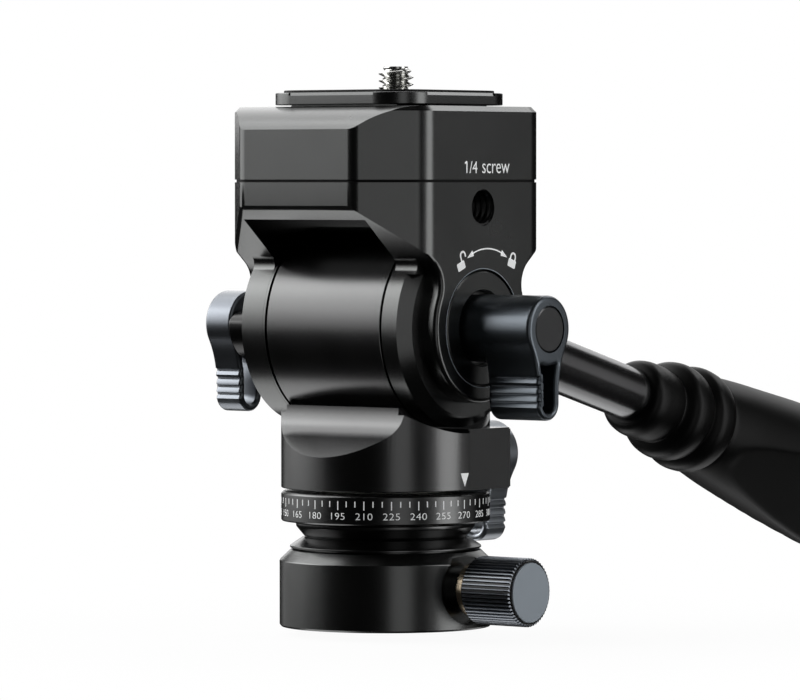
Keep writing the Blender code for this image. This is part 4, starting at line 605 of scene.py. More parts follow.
class RoundArray:
    """Copies of a small piece round a circle, as a Geometry Nodes tree with named inputs."""

    def __init__(self, label: str) -> None:
        """Builds the tree."""
        self.tree = bpy.data.node_groups.new(label, "GeometryNodeTree")
        face = self.tree.interface
        face.new_socket("Geometry", in_out="OUTPUT", socket_type="NodeSocketGeometry")
        self.inputs = {}
        for name, kind in (("Piece", "Object"), ("Count", "Int"), ("Radius", "Float"), ("Start", "Float"),
                           ("Step", "Float"), ("Long Every", "Int"), ("Long Share", "Float"),
                           ("Finish", "Material")):
            socket = face.new_socket(name, in_out="INPUT", socket_type="NodeSocket" + kind)
            self.inputs[name] = socket.identifier
        self._build()

    def _node(self, kind: str, settings: dict[str, Any], links: dict[str | int, Any]) -> bpy.types.Node:
        """Adds a node and links or sets its inputs."""
        node = self.tree.nodes.new(kind)
        for key, value in settings.items():
            setattr(node, key, value)
        for key, value in links.items():
            if isinstance(value, bpy.types.NodeSocket):
                self.tree.links.new(value, node.inputs[key])
            else:
                node.inputs[key].default_value = value
        return node

    def _math(self, operation: str, first: Any, second: Any) -> bpy.types.NodeSocket:
        """One Math node's result."""
        return self._node("ShaderNodeMath", {"operation": operation}, {0: first, 1: second}).outputs[0]

    def _build(self) -> None:
        """Points round the circle, a copy on each, then real geometry with its material."""
        given = self.tree.nodes.new("NodeGroupInput").outputs
        index = self.tree.nodes.new("GeometryNodeInputIndex").outputs[0]
        angle = self._math("ADD", given["Start"], self._math("MULTIPLY", index, given["Step"]))
        place = self._node("ShaderNodeCombineXYZ", {}, {
            0: self._math("MULTIPLY", given["Radius"], self._math("COSINE", angle, 0.0)),
            1: self._math("MULTIPLY", given["Radius"], self._math("SINE", angle, 0.0))})
        turn = self._node("ShaderNodeCombineXYZ", {}, {2: angle})
        every = self._math("MODULO", index, given["Long Every"])
        is_long = self._math("LESS_THAN", every, 0.5)
        grown = self._math("ADD", 1.0, self._math("MULTIPLY", is_long, given["Long Share"]))
        size = self._node("ShaderNodeCombineXYZ", {}, {0: 1.0, 1: 1.0, 2: grown})
        points = self._node("GeometryNodePoints", {}, {"Count": given["Count"],
                                                       "Position": place.outputs[0]})
        source = self._node("GeometryNodeObjectInfo", {}, {"Object": given["Piece"]})
        copies = self._node("GeometryNodeInstanceOnPoints", {}, {
            "Points": points.outputs[0], "Instance": source.outputs["Geometry"],
            "Rotation": turn.outputs[0], "Scale": size.outputs[0]})
        real = self._node("GeometryNodeRealizeInstances", {}, {0: copies.outputs[0]})
        dressed = self._node("GeometryNodeSetMaterial", {}, {"Geometry": real.outputs[0],
                                                             "Material": given["Finish"]})
        end = self.tree.nodes.new("NodeGroupOutput")
        self.tree.links.new(dressed.outputs[0], end.inputs[0])

    def mesh(self, piece: Solid, count: int, radius: float, start: float, step: float, finish: Finish,
             long_every: int = 1, long_share: float = 0.0) -> bpy.types.Mesh:
        """The copies as one plain mesh.

        Args:
            piece: The small piece, at the origin with +X outwards.
            count: Number of copies.
            radius: Radius of the circle.
            start: Angle of the first copy, in degrees.
            step: Angle from one copy to the next, in degrees.
            finish: The copies' finish.
            long_every: Every so many copies, one is taller.
            long_share: How much taller, as a share.

        Returns:
            The mesh, in mm about the Z axis.
        """
        sample = linked("sample", piece.mesh)
        holder = linked("copies", bpy.data.meshes.new("copies"))
        change = holder.modifiers.new("copies", "NODES")
        change.node_group = self.tree
        values = {"Piece": sample, "Count": count, "Radius": radius, "Start": math.radians(start),
                  "Step": math.radians(step), "Long Every": long_every, "Long Share": long_share,
                  "Finish": finish.material()}
        for name, value in values.items():
            change[self.inputs[name]] = value
        made = evaluated(holder)
        bpy.data.objects.remove(sample, do_unlink=True)
        return made


def inked(outline: Outline) -> bpy.types.Mesh:
    """A printed shape, as a thin slab."""
    return Solid.slab([outline], -0.01, 0.02).mesh


def flute(foot: float, crest: float, depth: float, length: float) -> Solid:
    """A rib of a knurled knob, with +X outwards; foot and crest are half widths."""
    half = [(depth, crest), (0.0, foot), (-0.3, foot)]
    return Solid.slab([[(x, -y) for x, y in reversed(half)] + half], 0.0, length)


def lettering(text: str, height: float, thickness: float = 0.02, spacing: float = 1.0,
              width_share: float = 1.0, thin: float = 0.0) -> bpy.types.Mesh:
    """Flat letters in the XY plane, centred on x = 0 with their feet at y = 0.

    Args:
        text: The words.
        height: Height of a digit, in mm.
        thickness: Thickness along Z.
        spacing: Share of the usual space between letters.
        width_share: Share of the usual width.
        thin: How far the strokes are drawn in, as a negative length in mm.

    Returns:
        The mesh, in mm.
    """
    curve = bpy.data.curves.new("letters", "FONT")
    curve.body = text
    curve.size = height / 0.73
    curve.space_character = spacing
    curve.extrude = thickness / 2
    curve.offset = thin
    curve.resolution_u = 4
    mesh = evaluated(linked("letters", curve))
    xs = [v.co.x for v in mesh.vertices]
    low = min(v.co.y for v in mesh.vertices)
    centre = (min(xs) + max(xs)) / 2
    squeeze = Matrix.Diagonal((width_share, 1.0, 1.0, 1.0)) @ Matrix.Translation((-centre, -low, 0))
    return weld(mesh, squeeze)


def wrapped(mesh: bpy.types.Mesh, radius: float, angle: float, level: float) -> bpy.types.Mesh:
    """Bends a flat mesh round the Z axis.

    Args:
        mesh: The mesh, which is changed: x runs round the circle and y up.
        radius: The circle's radius.
        angle: Where x = 0 goes, in degrees.
        level: Where y = 0 goes.

    Returns:
        The same mesh.
    """
    for vertex in mesh.vertices:
        turn = math.radians(angle) + vertex.co.x / radius
        reach = radius + vertex.co.z
        vertex.co = Vector((reach * math.cos(turn), reach * math.sin(turn), level + vertex.co.y))
    return mesh


def merged(meshes: Iterable[bpy.types.Mesh]) -> bpy.types.Mesh:
    """Several meshes as one."""
    build = bmesh.new()
    for mesh in meshes:
        build.from_mesh(mesh)
    whole = bpy.data.meshes.new("merged")
    build.to_mesh(whole)
    build.free()
    return whole


@dataclass
class Thread:
    """A screw thread, worked out as a height over angle and length.

    Attributes:
        radius: Radius at the crests of a screw, or the plain radius of a bore.
        pitch: Distance from crest to crest.
        depth: Depth of the groove.
        low: Lower end.
        high: Upper end.
        steps: Facets round a turn.
        per_pitch: Rings in each pitch.
    """

    radius: float
    pitch: float
    depth: float
    low: float
    high: float
    steps: int = 48
    per_pitch: int = 10

    def reach(self, angle: float, level: float) -> float:
        """How far below the crest the surface is at one place, as a share of the depth."""
        phase = (level / self.pitch - angle / math.tau) % 1.0
        wave = abs(phase * 2 - 1)
        return min(max((wave - 0.12) / 0.76, 0.0), 1.0)

    def fade(self, level: float) -> float:
        """1 below, less near the upper end, where a chamfer takes the crests."""
        edge = self.pitch * 0.9
        return max(0.0, min(1.0, (self.high - level) / edge))

    def screw(self) -> bpy.types.Mesh:
        """A male thread with flat ends."""
        def crest(angle: float, level: float) -> float:
            """Radius at one place."""
            return self.radius - self.depth * (1 - (1 - self.reach(angle, level)) * self.fade(level))

        return self._tube(crest)

    def bore(self, outer: float) -> bpy.types.Mesh:
        """A female thread inside a sleeve.

        Args:
            outer: The sleeve's outer radius.

        Returns:
            The mesh.
        """
        return self._tube(lambda a, z: self.radius - self.depth * (1 - self.reach(a, z)), outer)

    def _tube(self, radius_at: Callable[[float, float], float],
              outer: float | None = None) -> bpy.types.Mesh:
        """The grid of rings, closed by caps or by an outer wall."""
        build = bmesh.new()
        rings = max(2, int((self.high - self.low) / self.pitch * self.per_pitch))
        loops = []
        for ring in range(rings + 1):
            level = self.low + (self.high - self.low) * ring / rings
            loop = []
            for k in range(self.steps):
                turn = math.tau * k / self.steps
                radius = radius_at(turn, level)
                loop.append(build.verts.new((radius * math.cos(turn), radius * math.sin(turn), level)))
            loops.append(loop)
        if outer is not None:
            for level in (self.high, self.low):
                loops.append([build.verts.new((outer * math.cos(math.tau * k / self.steps),
                                               outer * math.sin(math.tau * k / self.steps), level))
                              for k in range(self.steps)])
            loops.append(loops[0])
        for lower, upper in zip(loops, loops[1:]):
            for k in range(self.steps):
                after = (k + 1) % self.steps
                build.faces.new((lower[k], lower[after], upper[after], upper[k]))
        if outer is None:
            build.faces.new(list(reversed(loops[0])))
            build.faces.new(loops[-1])
        bmesh.ops.recalc_face_normals(build, faces=build.faces)
        mesh = bpy.data.meshes.new("thread")
        build.to_mesh(mesh)
        build.free()
        return mesh


@dataclass
class Base:
    """The base cup, its tripod insert and the knurled clamp knob."""

    radius: float = 19.3
    height: float = 14.0
    clamp_level: float = CLAMP_LEVEL
    seat_face: float = 19.7
    washer: float = 4.9
    knob_radius: float = 6.2
    knob_back: float = 21.8
    knob_face: float = 33.2
    flutes: int = 52
    rib_depth: float = 0.45

    def build(self, copies: RoundArray) -> None:
        """Builds every piece of the base.

        Args:
            copies: The tree that puts the flutes round the knob.
        """
        self.cup()
        self.insert()
        self.washer_and_knob(copies)

    def cup(self) -> None:
        """Turned cup with a chamfered lip, radial bores and the spot face under the clamp knob."""
        r, h = self.radius, self.height
        profile = [(15.5, h), (17.15, h), (17.42, h - 0.14), (r - 0.1, 12.14), (r, 11.9), (r, 0.35),
                   (r - 0.3, 0.0), (6.7625, 0.0), (6.7625, 8.8), (8.4625, 8.8), (8.4625, 4.5), (15.5, 4.5)]
        cup = Solid.turned(profile, steps=144, ring=True)
        side = at(Facing.RIGHT, z=self.clamp_level)
        cup.cut(Solid.turned([(6.5, r + 2), (6.5, 18.0), (4.2, 18.0), (4.2, r + 2)], side, 64, True, 0.3),
                Solid.rod(6.5, self.seat_face, r + 2, side, 64, phase=0.4))
        cup.join(Solid.rod(4.2, 16.0, self.seat_face, side, 64, phase=0.15))
        cup.cut(Solid.rod(SCREW_BORE, 8.8, r + 2, side, 40, phase=0.3))
        for turn in (120.0, 240.0):
            spin = Matrix.Rotation(math.radians(turn), 4, "Z")
            cup.cut(Solid.rod(SCREW_BORE, 13.6, r + 2, spin @ side, 40, phase=0.3))
        show("cup_shell", cup, SATIN_BLACK, "base", ["base_cup"])

    def insert(self) -> None:
        """Steel bush with the 3/8 inch thread."""
        thread = Thread(4.9, 1.5875, 0.75, 0.3, 8.5, 64, 12)
        show("threaded_tripod_insert", thread.bore(6.16), BRIGHT_STEEL, "base",
             ["tripod_insert"])

    def washer_and_knob(self, copies: RoundArray) -> None:
        """Brass washer, fluted knob with a chamfered end, and the smooth cap in it."""
        side = at(Facing.RIGHT, z=self.clamp_level)
        w = self.washer
        ring = [(w - 0.2, 21.5), (w, 21.3), (w, 20.2), (w - 0.2, 20.0), (2.3, 20.0), (2.3, 21.5)]
        show("brass_washer", Solid.turned(ring, side, 72, True), PALE_BRASS, "base",
             ["clamp_washer"])
        back, face, r = self.knob_back, self.knob_face, self.knob_radius
        core = r - self.rib_depth
        body = Solid.turned([(5.45, face), (core - 0.06, face), (core, face - 0.08), (core, back + 0.3),
                             (core - 0.3, back), (2.3, back), (2.3, face - 2.4), (1.0, face - 2.4)],
                            side, 96)
        body.cut(Solid.rod(5.55, face - 1.3, face + 1, side, 96, phase=0.35))
        rib = flute(0.25, 0.1, self.rib_depth, face - back - 0.45)
        for vertex in rib.mesh.vertices:
            if vertex.co.x > 0.1:
                vertex.co.z += 0.35 if vertex.co.z < 1 else -0.25
        ribs = copies.mesh(rib, self.flutes, core - 0.02, 0.0, 360.0 / self.flutes, LEVER_SLATE)
        ribs.transform(at(Facing.RIGHT, x=back + 0.35, z=self.clamp_level))
        # The knob's body between the ribs takes the darker copy as painted shade in the grooves; the ribs
        # take the brighter silver lever paint as a painted highlight.
        show("clamp_knob_body", body, PAINTED_SHADE_BLACK, "base_knob", ["clamp_knob"])
        show("clamp_knob_ribs", ribs, LEVER_SILVER, "base_knob")
        cap = Solid.turned([(5.15, 33.5), (5.32, 33.42), (5.4, 33.2), (5.4, 32.2)], side, 96)
        show("clamp_knob_disc", cap, CAP_GREY, "base_knob", ["clamp_knob_cap"])


@dataclass
class Foot:
    """The collar that stands in the cup, and the scale ring with its marks."""

    ring_radius: float = 19.0
    ring_low: float = 19.2
    ring_high: float = 24.6
    zero_angle: float = -2.8
    zero_mark: int = 270
    mark_step: int = 5
    number_step: int = 15

    def build(self, copies: RoundArray) -> None:
        """Builds the collar, the ring, the ticks and the numbers.

        Args:
            copies: The tree that puts the ticks round the ring.
        """
        collar = [
            (5.0, 40.4), (5.0, 24.3), (13.7, 24.3), (13.7, 18.9), (16.15, 18.9), (16.3, 18.75),
            (16.3, 18.3), (16.2, 18.1), (14.7, 16.3), (14.6, 16.2), (15.05, 16.2), (15.25, 16.12),
            (17.3, 14.75), (17.4, 14.62), (17.4, 14.4), (17.3, 14.3), (15.2, 14.3), (15.2, 10.0),
            (13.6, 8.2), (13.6, 6.6), (15.2, 4.8), (8.8, 4.8), (8.8, 14.3)]
        show("collar", Solid.turned(collar, steps=144), PAN_BLACK, "foot", ["foot_collar"])
        r, low, high = self.ring_radius, self.ring_low, self.ring_high
        ring = [(r - 0.4, high), (r - 0.06, high - 0.34), (r, high - 0.5), (r, low + 0.25), (r - 0.2, low),
                (14.0, low), (14.0, high)]
        show("scale_ring_body", Solid.turned(ring, steps=144, ring=True), PAN_BLACK, "foot",
             ["scale_ring"])
        tick = Solid.block((-0.02, -0.095, -1.05), (0.025, 0.095, 0.0))
        count = 360 // self.mark_step
        every = self.number_step // self.mark_step
        marks = copies.mesh(tick, count, r, self.zero_angle, self.mark_step, PRINT_WHITE, every, 0.5)
        marks.transform(Matrix.Translation((0, 0, 23.55)))
        show("scale_ticks", marks, PRINT_WHITE, "foot")
        numbers = []
        for mark in range(0, 360, self.number_step):
            angle = self.zero_angle + mark - self.zero_mark
            digits = lettering(str(mark), 1.3, 0.03, 1.05, 1.2, -0.02)
            numbers.append(wrapped(digits, r + 0.012, angle, 20.25))
        show("scale_numbers", merged(numbers), PRINT_WHITE, "foot")


@dataclass
class PanSection:
    """The pan housing with its concave neck and cross-wise barrel, and the pan lock lever."""

    radius: float = 19.0
    low: float = 25.2
    tilt_level: float = TILT_LEVEL
    barrel_radius: float = 18.0
    barrel_half: float = 13.1
    barrel_chamfer: float = 0.08
    neck_half_depth: float = 12.4
    fillet: float = 7.0
    shoulder: float = 6.1
    slope: float = math.radians(40)
    lock_level: float = LOCK_LEVEL

    def milled(self) -> Outline:
        """Outline of what is milled off the front: outside the neck and above its slope."""
        foot_y = self.low + self.shoulder - self.tilt_level
        centre_x = self.neck_half_depth + self.fillet
        lift = (self.fillet - (centre_x - self.radius) * math.sin(self.slope)) / math.cos(self.slope)
        bend = arc((centre_x, foot_y + lift), self.fillet, math.pi, math.pi * 3 / 2 - self.slope, 20)
        far = self.radius + 2
        ledge = foot_y + lift + 0.15
        brow = [(self.neck_half_depth - 1.5, 20.0), (self.neck_half_depth - 1.5, ledge),
                (self.neck_half_depth, ledge)]
        return brow + bend + [(far, foot_y - 2 * math.tan(self.slope)), (far, 20)]

    def build(self) -> None:
        """Builds the housing and the index mark on it."""
        self.housing()
        mark = inked([(-1.1, 2.4), (1.1, 2.4), (0.0, 0.0)])
        show("index_mark", wrapped(mark, self.radius + 0.015, -2.4, 25.95), PRINT_WHITE, "pan")

    def housing(self) -> None:
        """Round body, milled shoulders, barrel, lock block and the bores inside."""
        tilt = self.tilt_level
        wide, low_edge = self.radius, self.low
        body = Solid.turned([(wide, tilt), (wide, low_edge + 0.15), (wide - 0.15, low_edge)], steps=144)
        outline = self.milled()
        for sign in (-1, 1):
            body.cut(Solid.slab([[(sign * x, y) for x, y in outline]], -22, 22, at(Facing.SIDE, z=tilt)))
        across = at(Facing.RIGHT, z=tilt)
        for low, high in ((13.0, 22.0), (-22.0, -13.0)):
            body.cut(Solid.rod(24.0, low, high, at(Facing.RIGHT, z=tilt + 5.0), 160, phase=0.3))
        r, half, edge = self.barrel_radius, self.barrel_half, self.barrel_chamfer
        barrel = Solid.turned([(r - edge, half), (r, half - edge), (r, edge - half), (r - edge, -half)],
                              across, 160)
        block = Solid.block((-8.5, 10.4, 25.2), (8.5, 25.7, 35.3), chamfer=0.5)
        flank = Solid.block((-19.0, -0.01, 25.2), (19.0, 12.8, 36.2), chamfer=0.25)
        flank.cut(Solid.block((-20.0, -1.0, 25.0), (20.0, 0.6, 37.0)))
        body.join(barrel, block, flank)
        bore = [(8.6, tilt), (8.6, 34.0), (7.1, 34.0), (7.1, 26.5), (12.3, 26.5), (12.3, 23.2)]
        body.cut(Solid.turned(bore, steps=64, phase=0.3),
                 Solid.rod(12.3, -15, 15, across, 72, phase=0.4),
                 Solid.rod(SCREW_BORE, 5, 28, at(Facing.BACK, z=self.lock_level), 32, phase=0.3))
        show("housing_body", body, PAN_BLACK, "pan", ["pan_housing"])


@dataclass
class Lever:
    """A slotted lever: round boss, waisted arm, grip grooves on one side.

    Attributes:
        name: Name of the piece.
        body: The CAD body that it is.
        place: Where its axis is; the lever hangs along its own -Y and its boss runs along its own Z.
        back: Back face of the boss.
        arm_back: Back face of the arm.
        face: Front face.
        ribbed: Side with the grooves, 1 for its own +X and -1 for -X.
        finish: Its finish.
        slot: The finish's slot, which is not used.
        node: The CAD node that it replaces.
    """

    name: str
    body: str
    place: Matrix
    back: float
    arm_back: float
    face: float
    ribbed: int
    finish: Finish
    slot: Slot
    node: str
    boss: float = 6.05
    half: float = 3.1
    reach: float = 13.2
    drop: float = 11.0
    rim: float = 1.35
    edge: float = 0.6
    cap_radius: float = 4.1
    grooves_at: tuple[float, ...] = (-8.7, -10.2, -11.7, -13.1)

    def waist(self) -> float:
        """Radius of the concave side."""
        return (self.half ** 2 + self.drop ** 2 - self.boss ** 2) / (2 * (self.boss - self.half))

    def outline(self) -> Outline:
        """The lever seen along its axis."""
        half, waist = self.half, self.waist()
        touch = math.atan2(-self.drop, half + waist)
        upper = arc((0, 0), self.boss, math.pi / 2, touch, 28)
        bridge = arc((half + waist, -self.drop), waist, math.pi + touch, math.pi, 12)
        tip = arc((0, -self.reach), half, 0, -math.pi / 2, 10)
        grooves: Outline = []
        for level in self.grooves_at:
            side = half + waist - math.sqrt(waist ** 2 - max(self.drop + level, 0.0) ** 2)
            grooves += [(side, level + 0.32), (side - 0.4, level + 0.14), (side - 0.4, level - 0.06),
                        (side - 0.24, level - 0.2), (side - 0.02, level - 0.82)]
        bare = upper + bridge[1:] + tip
        ribbed = [p for p in upper + bridge[1:] if p[1] > -8.3] + grooves
        ribbed += [p for p in tip if p[1] < -13.95]
        right, left = (ribbed, bare) if self.ribbed > 0 else (bare, ribbed)
        return right + [(-x, y) for x, y in reversed(left[1:-1])]

    def opening(self) -> Outline:
        """The slot in the arm, with an arched top and round corners."""
        waist, start = self.waist(), 6.3
        centre_x, side = self.half + waist, waist + self.rim
        points = []
        for index in range(13):
            level = start + 0.55 + (self.drop - start - 0.55) * index / 12
            points.append((centre_x - math.sqrt(side ** 2 - (self.drop - level) ** 2), -level))
        tip = arc((0, -self.reach), self.half - self.rim, 0, -math.pi / 2, 10)
        corner = centre_x - math.sqrt(side ** 2 - (self.drop - start) ** 2)
        radius = math.hypot(corner - 0.55, start)
        top = arc((0, 0), radius, -math.pi / 2, math.atan2(-start, corner - 0.55), 6)
        return mirrored(top + [(corner - 0.13, -start - 0.14)] + points + tip)

    def build(self) -> None:
        """Builds the lever and its cap disc."""
        body = Solid.slab([self.outline(), self.opening()], self.arm_back, self.face, self.place,
                          self.edge, 3)
        if self.back < self.arm_back:
            body.join(Solid.rod(self.boss - 0.01, self.back, self.face - 1.0, self.place, 110,
                                chamfer=0.25, phase=0.3))
        body.cut(Solid.rod(self.cap_radius + 0.14, self.face - 0.9, self.face + 1, self.place, 96,
                           phase=0.35),
                 Solid.rod(SCREW_BORE, self.back - 1, self.face - 3.2, self.place, 40, phase=0.3))
        show(self.name, body, self.finish, self.body, [self.node])
        r = self.cap_radius
        cap = Solid.turned([(r - 0.25, self.face - 0.04), (r, self.face - 0.2), (r, self.face - 0.6)],
                           self.place, 96)
        show(self.name + "_disc", cap, CAP_DARK, self.body, [self.node + "_cap"])


@dataclass
class Yoke:
    """The eight-sided block with its two arms, the cover disc and the printed marks."""

    tilt_level: float = TILT_LEVEL
    arm_radius: float = 18.0
    boss_radius: float = 13.5
    half_width: float = 22.5
    half_depth: float = 25.5
    corner: float = 9.44
    underside: float = 21.4
    slope: float = math.radians(40)
    top: float = 26.14
    land: float = 26.64
    seam_depth: float = 0.8

    def seen_from_above(self, inset: float = 0.0) -> Outline:
        """The eight-sided outline, smaller all round by the inset."""
        w, d = self.half_width - inset, self.half_depth - inset
        c = self.corner - inset * (2 - math.sqrt(2))
        quarter = [(w, d - c, 5.2), (w - c, d, 2.9)]
        corners = quarter + [(-x, y, r) for x, y, r in reversed(quarter)]
        return rounded(corners + [(-x, -y, r) for x, y, r in corners], 10)

    def arm(self, radius: float, fillet: float) -> Outline:
        """Side view of an arm: sloping underside, fillet and round end."""
        edge = Vector((self.half_depth, self.underside))
        outward = Vector((math.sin(self.slope), -math.cos(self.slope)))
        along = Vector((math.cos(self.slope), math.sin(self.slope)))
        height = edge.dot(outward) + fillet
        centre = outward * height + along * math.sqrt((radius + fillet) ** 2 - height ** 2)
        start = math.atan2(-outward.y, -outward.x)
        end = math.atan2(-centre.y, -centre.x) + math.tau
        rim = arc((0, 0), radius, math.atan2(centre.y, centre.x), -math.pi / 2, 48)
        brow = [(edge.x, edge.y + 0.6), (edge.x - 0.16, edge.y + 0.1)]
        lip = tuple(edge - along * 0.5)
        half = [(self.half_depth + 2, self.top + 2), (self.half_depth + 2, edge.y + 0.75), *brow, lip]
        return mirrored(half + arc(centre, fillet, start, end, 12) + rim[1:])

    def build(self) -> None:
        """Builds the yoke, the cover disc, the threaded hole and the marks."""
        self.block()
        across = at(Facing.RIGHT, z=self.tilt_level)
        cover = [(10.05, 22.5), (10.3, 22.3), (10.3, 21.0), (6.8, 21.0), (6.8, 22.35), (6.95, 22.5)]
        show("cover_disc", Solid.turned(cover, across, 128, True), SATIN_BLACK, "tilt",
             ["arm_cover"])
        # A pale thin ring on the rim of the cover's bore, a painted highlight standing in for the edge's
        # glint.
        line = [(10.75, 22.53), (10.75, 22.4), (10.62, 22.4), (10.62, 22.53)]
        show("cover_ring_line", Solid.turned(line, across, 128, True), CAP_GREY, "tilt")
        sleeve = Thread(3.2, 1.27, 0.35, 15.9, 22.1, 56, 12).bore(3.28)
        sleeve.transform(at(Facing.RIGHT, z=self.tilt_level + SIDE_HOLE_RISE))
        show("side_thread_sleeve", sleeve, DARK_STEEL, "tilt")
        # A near-black band laid in the gap under the clamp body, painted shade for the dark seam.
        band = self.seen_from_above(0.3)
        seam = Solid.slab([band, self.seen_from_above(1.5)], self.top - 0.02, self.land + 0.02,
                          at(z=self.tilt_level))
        show("seam_band", seam, GAP_SHADE_BLACK, "tilt")
        # Near-black rings laid in the gaps between the barrel and the arm discs, painted shade.
        rings = []
        for near, far in ((13.14, 13.56), (-13.56, -13.14)):
            ring = [(17.65, far), (17.65, near), (13.6, near), (13.6, far)]
            rings.append(Solid.turned(ring, across, 120, True).mesh)
        show("joint_bands", merged(rings), GAP_SHADE_BLACK, "tilt")
        self.marks()

    def block(self) -> None:
        """Arms and bosses within the eight-sided outline, with the pocket and every bore."""
        tilt = self.tilt_level
        side, across, up = at(Facing.SIDE, z=tilt), at(Facing.RIGHT, z=tilt), at(z=tilt)
        yoke = Solid.slab([self.arm(self.arm_radius, 2.0)], -19, 19, side)
        yoke.join(Solid.slab([self.arm(self.boss_radius, 5.0)], -22.5, 22.5, side, 0.9, 4))
        yoke.keep(Solid.slab([self.seen_from_above()], -20, self.top, up))
        yoke.cut(*[self.edge_tool(right, back) for right in (-1, 1) for back in (-1, 1)])
        yoke.join(Solid.slab([self.seen_from_above(self.seam_depth)], self.top - 2, self.land, up))
        ceiling = self.underside - 2.3 * math.tan(self.slope)
        yoke.cut(Solid.block((-14.1, -23.2, -22), (14.1, 23.2, ceiling), up))
        for low, high in ((13.6, 16.0), (-16.0, -13.6)):
            yoke.join(Solid.rod(17.98, low, high, across, 160, phase=0.3))
        rim = Solid.turned([(19.0, 19.5), (19.0, 16.0), (15.5, 19.5)], across, 160, True)
        yoke.cut(rim.keep(Solid.block((-30, -30, -30), (30, 30, 9.8), up)))
        handle = HandleFrame().matrix()
        socket = Solid.rod(5.6, 10.0, 18.9, handle, 64, chamfer=0.25, phase=0.2)
        socket.cut(Solid.block((0, 0, -26), (13.5, 28, 0), up))
        yoke.join(socket)
        yoke.cut(Solid.rod(4.3, -25, 25, across, 40, phase=0.3),
                 Solid.rod(10.6, 20.7, 25, across, 128, phase=0.35),
                 Solid.rod(3.3, 15.7, 25, at(Facing.RIGHT, z=tilt + SIDE_HOLE_RISE), 64, phase=0.3),
                 Solid.rod(3.3, 10.0, 60, handle, 40, phase=0.3))
        for x, y in BODY_SCREWS:
            yoke.cut(Solid.rod(SCREW_BORE, 20.95, 30, at(x=x, y=y, z=tilt), 24, phase=0.3))
        show("yoke_body", yoke, SATIN_BLACK, "tilt", ["tilt_yoke"], sharp=25.0)

    def edge_tool(self, right: int, back: int) -> Solid:
        """What the chamfer under one corner face takes away.

        Args:
            right: 1 for the right side, -1 for the left.
            back: 1 for the back, -1 for the front.

        Returns:
            The tool, in the row frame.
        """
        w, d, c = self.half_width, self.half_depth, self.corner
        first = Vector((right * (w - c), back * d, self.underside))
        last = Vector((right * w, back * (d - c), self.underside - c * math.tan(self.slope)))
        under = Vector((0.0, back * math.sin(self.slope), -math.cos(self.slope)))
        along = (last - first).normalized()
        out = (Vector((right, back, 0.0)).normalized() + under).normalized()
        place = Matrix((along, out.cross(along), out)).transposed().to_4x4()
        place.translation = (first + last) / 2 + Vector((0.0, 0.0, self.tilt_level))
        return Solid.block((-9.0, -3.0, -0.36), (9.0, 3.0, 3.0), place)

    def marks(self) -> None:
        """Printed size of the side hole, and the lock's open and closed signs with their arrow."""
        side = at(Facing.SIDE, x=self.half_width + 0.015, z=self.tilt_level)
        size, word = lettering("1/4", 2.22), lettering("screw", 2.8, width_share=0.876, thin=-0.02)
        left = min(vertex.co.x for vertex in size.vertices)
        flag = [(left + 0.1, 2.22), (left + 0.1, 1.86), (left - 0.45, 1.62), (left - 0.45, 1.92)]
        size = merged([size, Solid.slab([flag], -0.01, 0.01).mesh])
        size.transform(Matrix.Translation((-3.27, 0, 0)))
        word.transform(Matrix.Translation((3.72, 0, 0)))
        words = merged([size, word])
        words.transform(side @ Matrix.Translation((0, 27.77, 0)))
        show("side_hole_words", words, PRINT_WHITE, "tilt")
        centre, radius = (1.2, 3.15), 11.1
        sweep = arc(centre, radius + 0.12, math.radians(113), math.radians(67), 24)
        inner = arc(centre, radius - 0.12, math.radians(67), math.radians(113), 24)
        shapes = [inked(sweep + inner)]
        for angle, lead in ((111.8, 10.0), (68.4, -10.0)):
            shapes.append(self.arrowhead(centre, radius, angle, lead))
        shapes.append(self.padlock(-6.34, 11.19, math.radians(22.5), True))
        shapes.append(self.padlock(8.37, 11.5, math.radians(-19), False))
        signs = merged(shapes)
        signs.transform(side)
        show("lock_signs", signs, PRINT_WHITE, "tilt")

    def arrowhead(self, centre: Point, radius: float, angle: float, lead: float) -> bpy.types.Mesh:
        """A small triangle at one end of the arc.

        Args:
            centre: The arc's centre.
            radius: The arc's radius.
            angle: Where its base is, in degrees.
            lead: How far its point leads round the arc, in degrees.

        Returns:
            The mesh.
        """
        base, tip = math.radians(angle), math.radians(angle + lead)
        places = [(radius - 0.55, base), (radius + 0.55, base), (radius, tip)]
        corners = [(centre[0] + r * math.cos(a), centre[1] + r * math.sin(a)) for r, a in places]
        return inked(corners)

    def padlock(self, x: float, y: float, lean: float, is_open: bool) -> bpy.types.Mesh:
        """A padlock sign.

        Args:
            x: Place of its case along the face.
            y: Height of its case on the face.
            lean: How far it is turned.
            is_open: Whether the shackle stands open.

        Returns:
            The mesh.
        """
        wide, tall, outer, thin = 1.1, 0.725, 0.85, 0.5
        case = oblong(wide, tall, 0.2, 4)
        shift = 1.15 if is_open else 0.0
        level = tall + (0.85 if is_open else 0.5)
        far_leg = level - 0.5 if is_open else tall - 0.1
        shackle = [(shift + outer, far_leg)] + arc((shift, level), outer, 0.0, math.pi, 12)
        shackle += [(shift - outer, tall - 0.1), (shift - thin, tall - 0.1)]
        shackle += arc((shift, level), thin, math.pi, 0.0, 12) + [(shift + thin, far_leg)]
        sign = merged([inked(case), inked(shackle)])
        sign.transform(Matrix.Translation((x, y, 0)) @ Matrix.Rotation(lean, 4, "Z"))
        return sign


@dataclass(frozen=True)
class HandleFrame:
    """The handle's own axis, which leaves the right arm backwards and downwards."""

    offset: float = 18.3
    drop: float = math.radians(15.1)
    tilt_level: float = TILT_LEVEL

    def matrix(self) -> Matrix:
        """The matrix whose Z axis runs along the handle and whose Y axis points down."""
        return (Matrix.Translation((self.offset, 0, self.tilt_level))
                @ Matrix.Rotation(-math.pi / 2 - self.drop, 4, "X"))


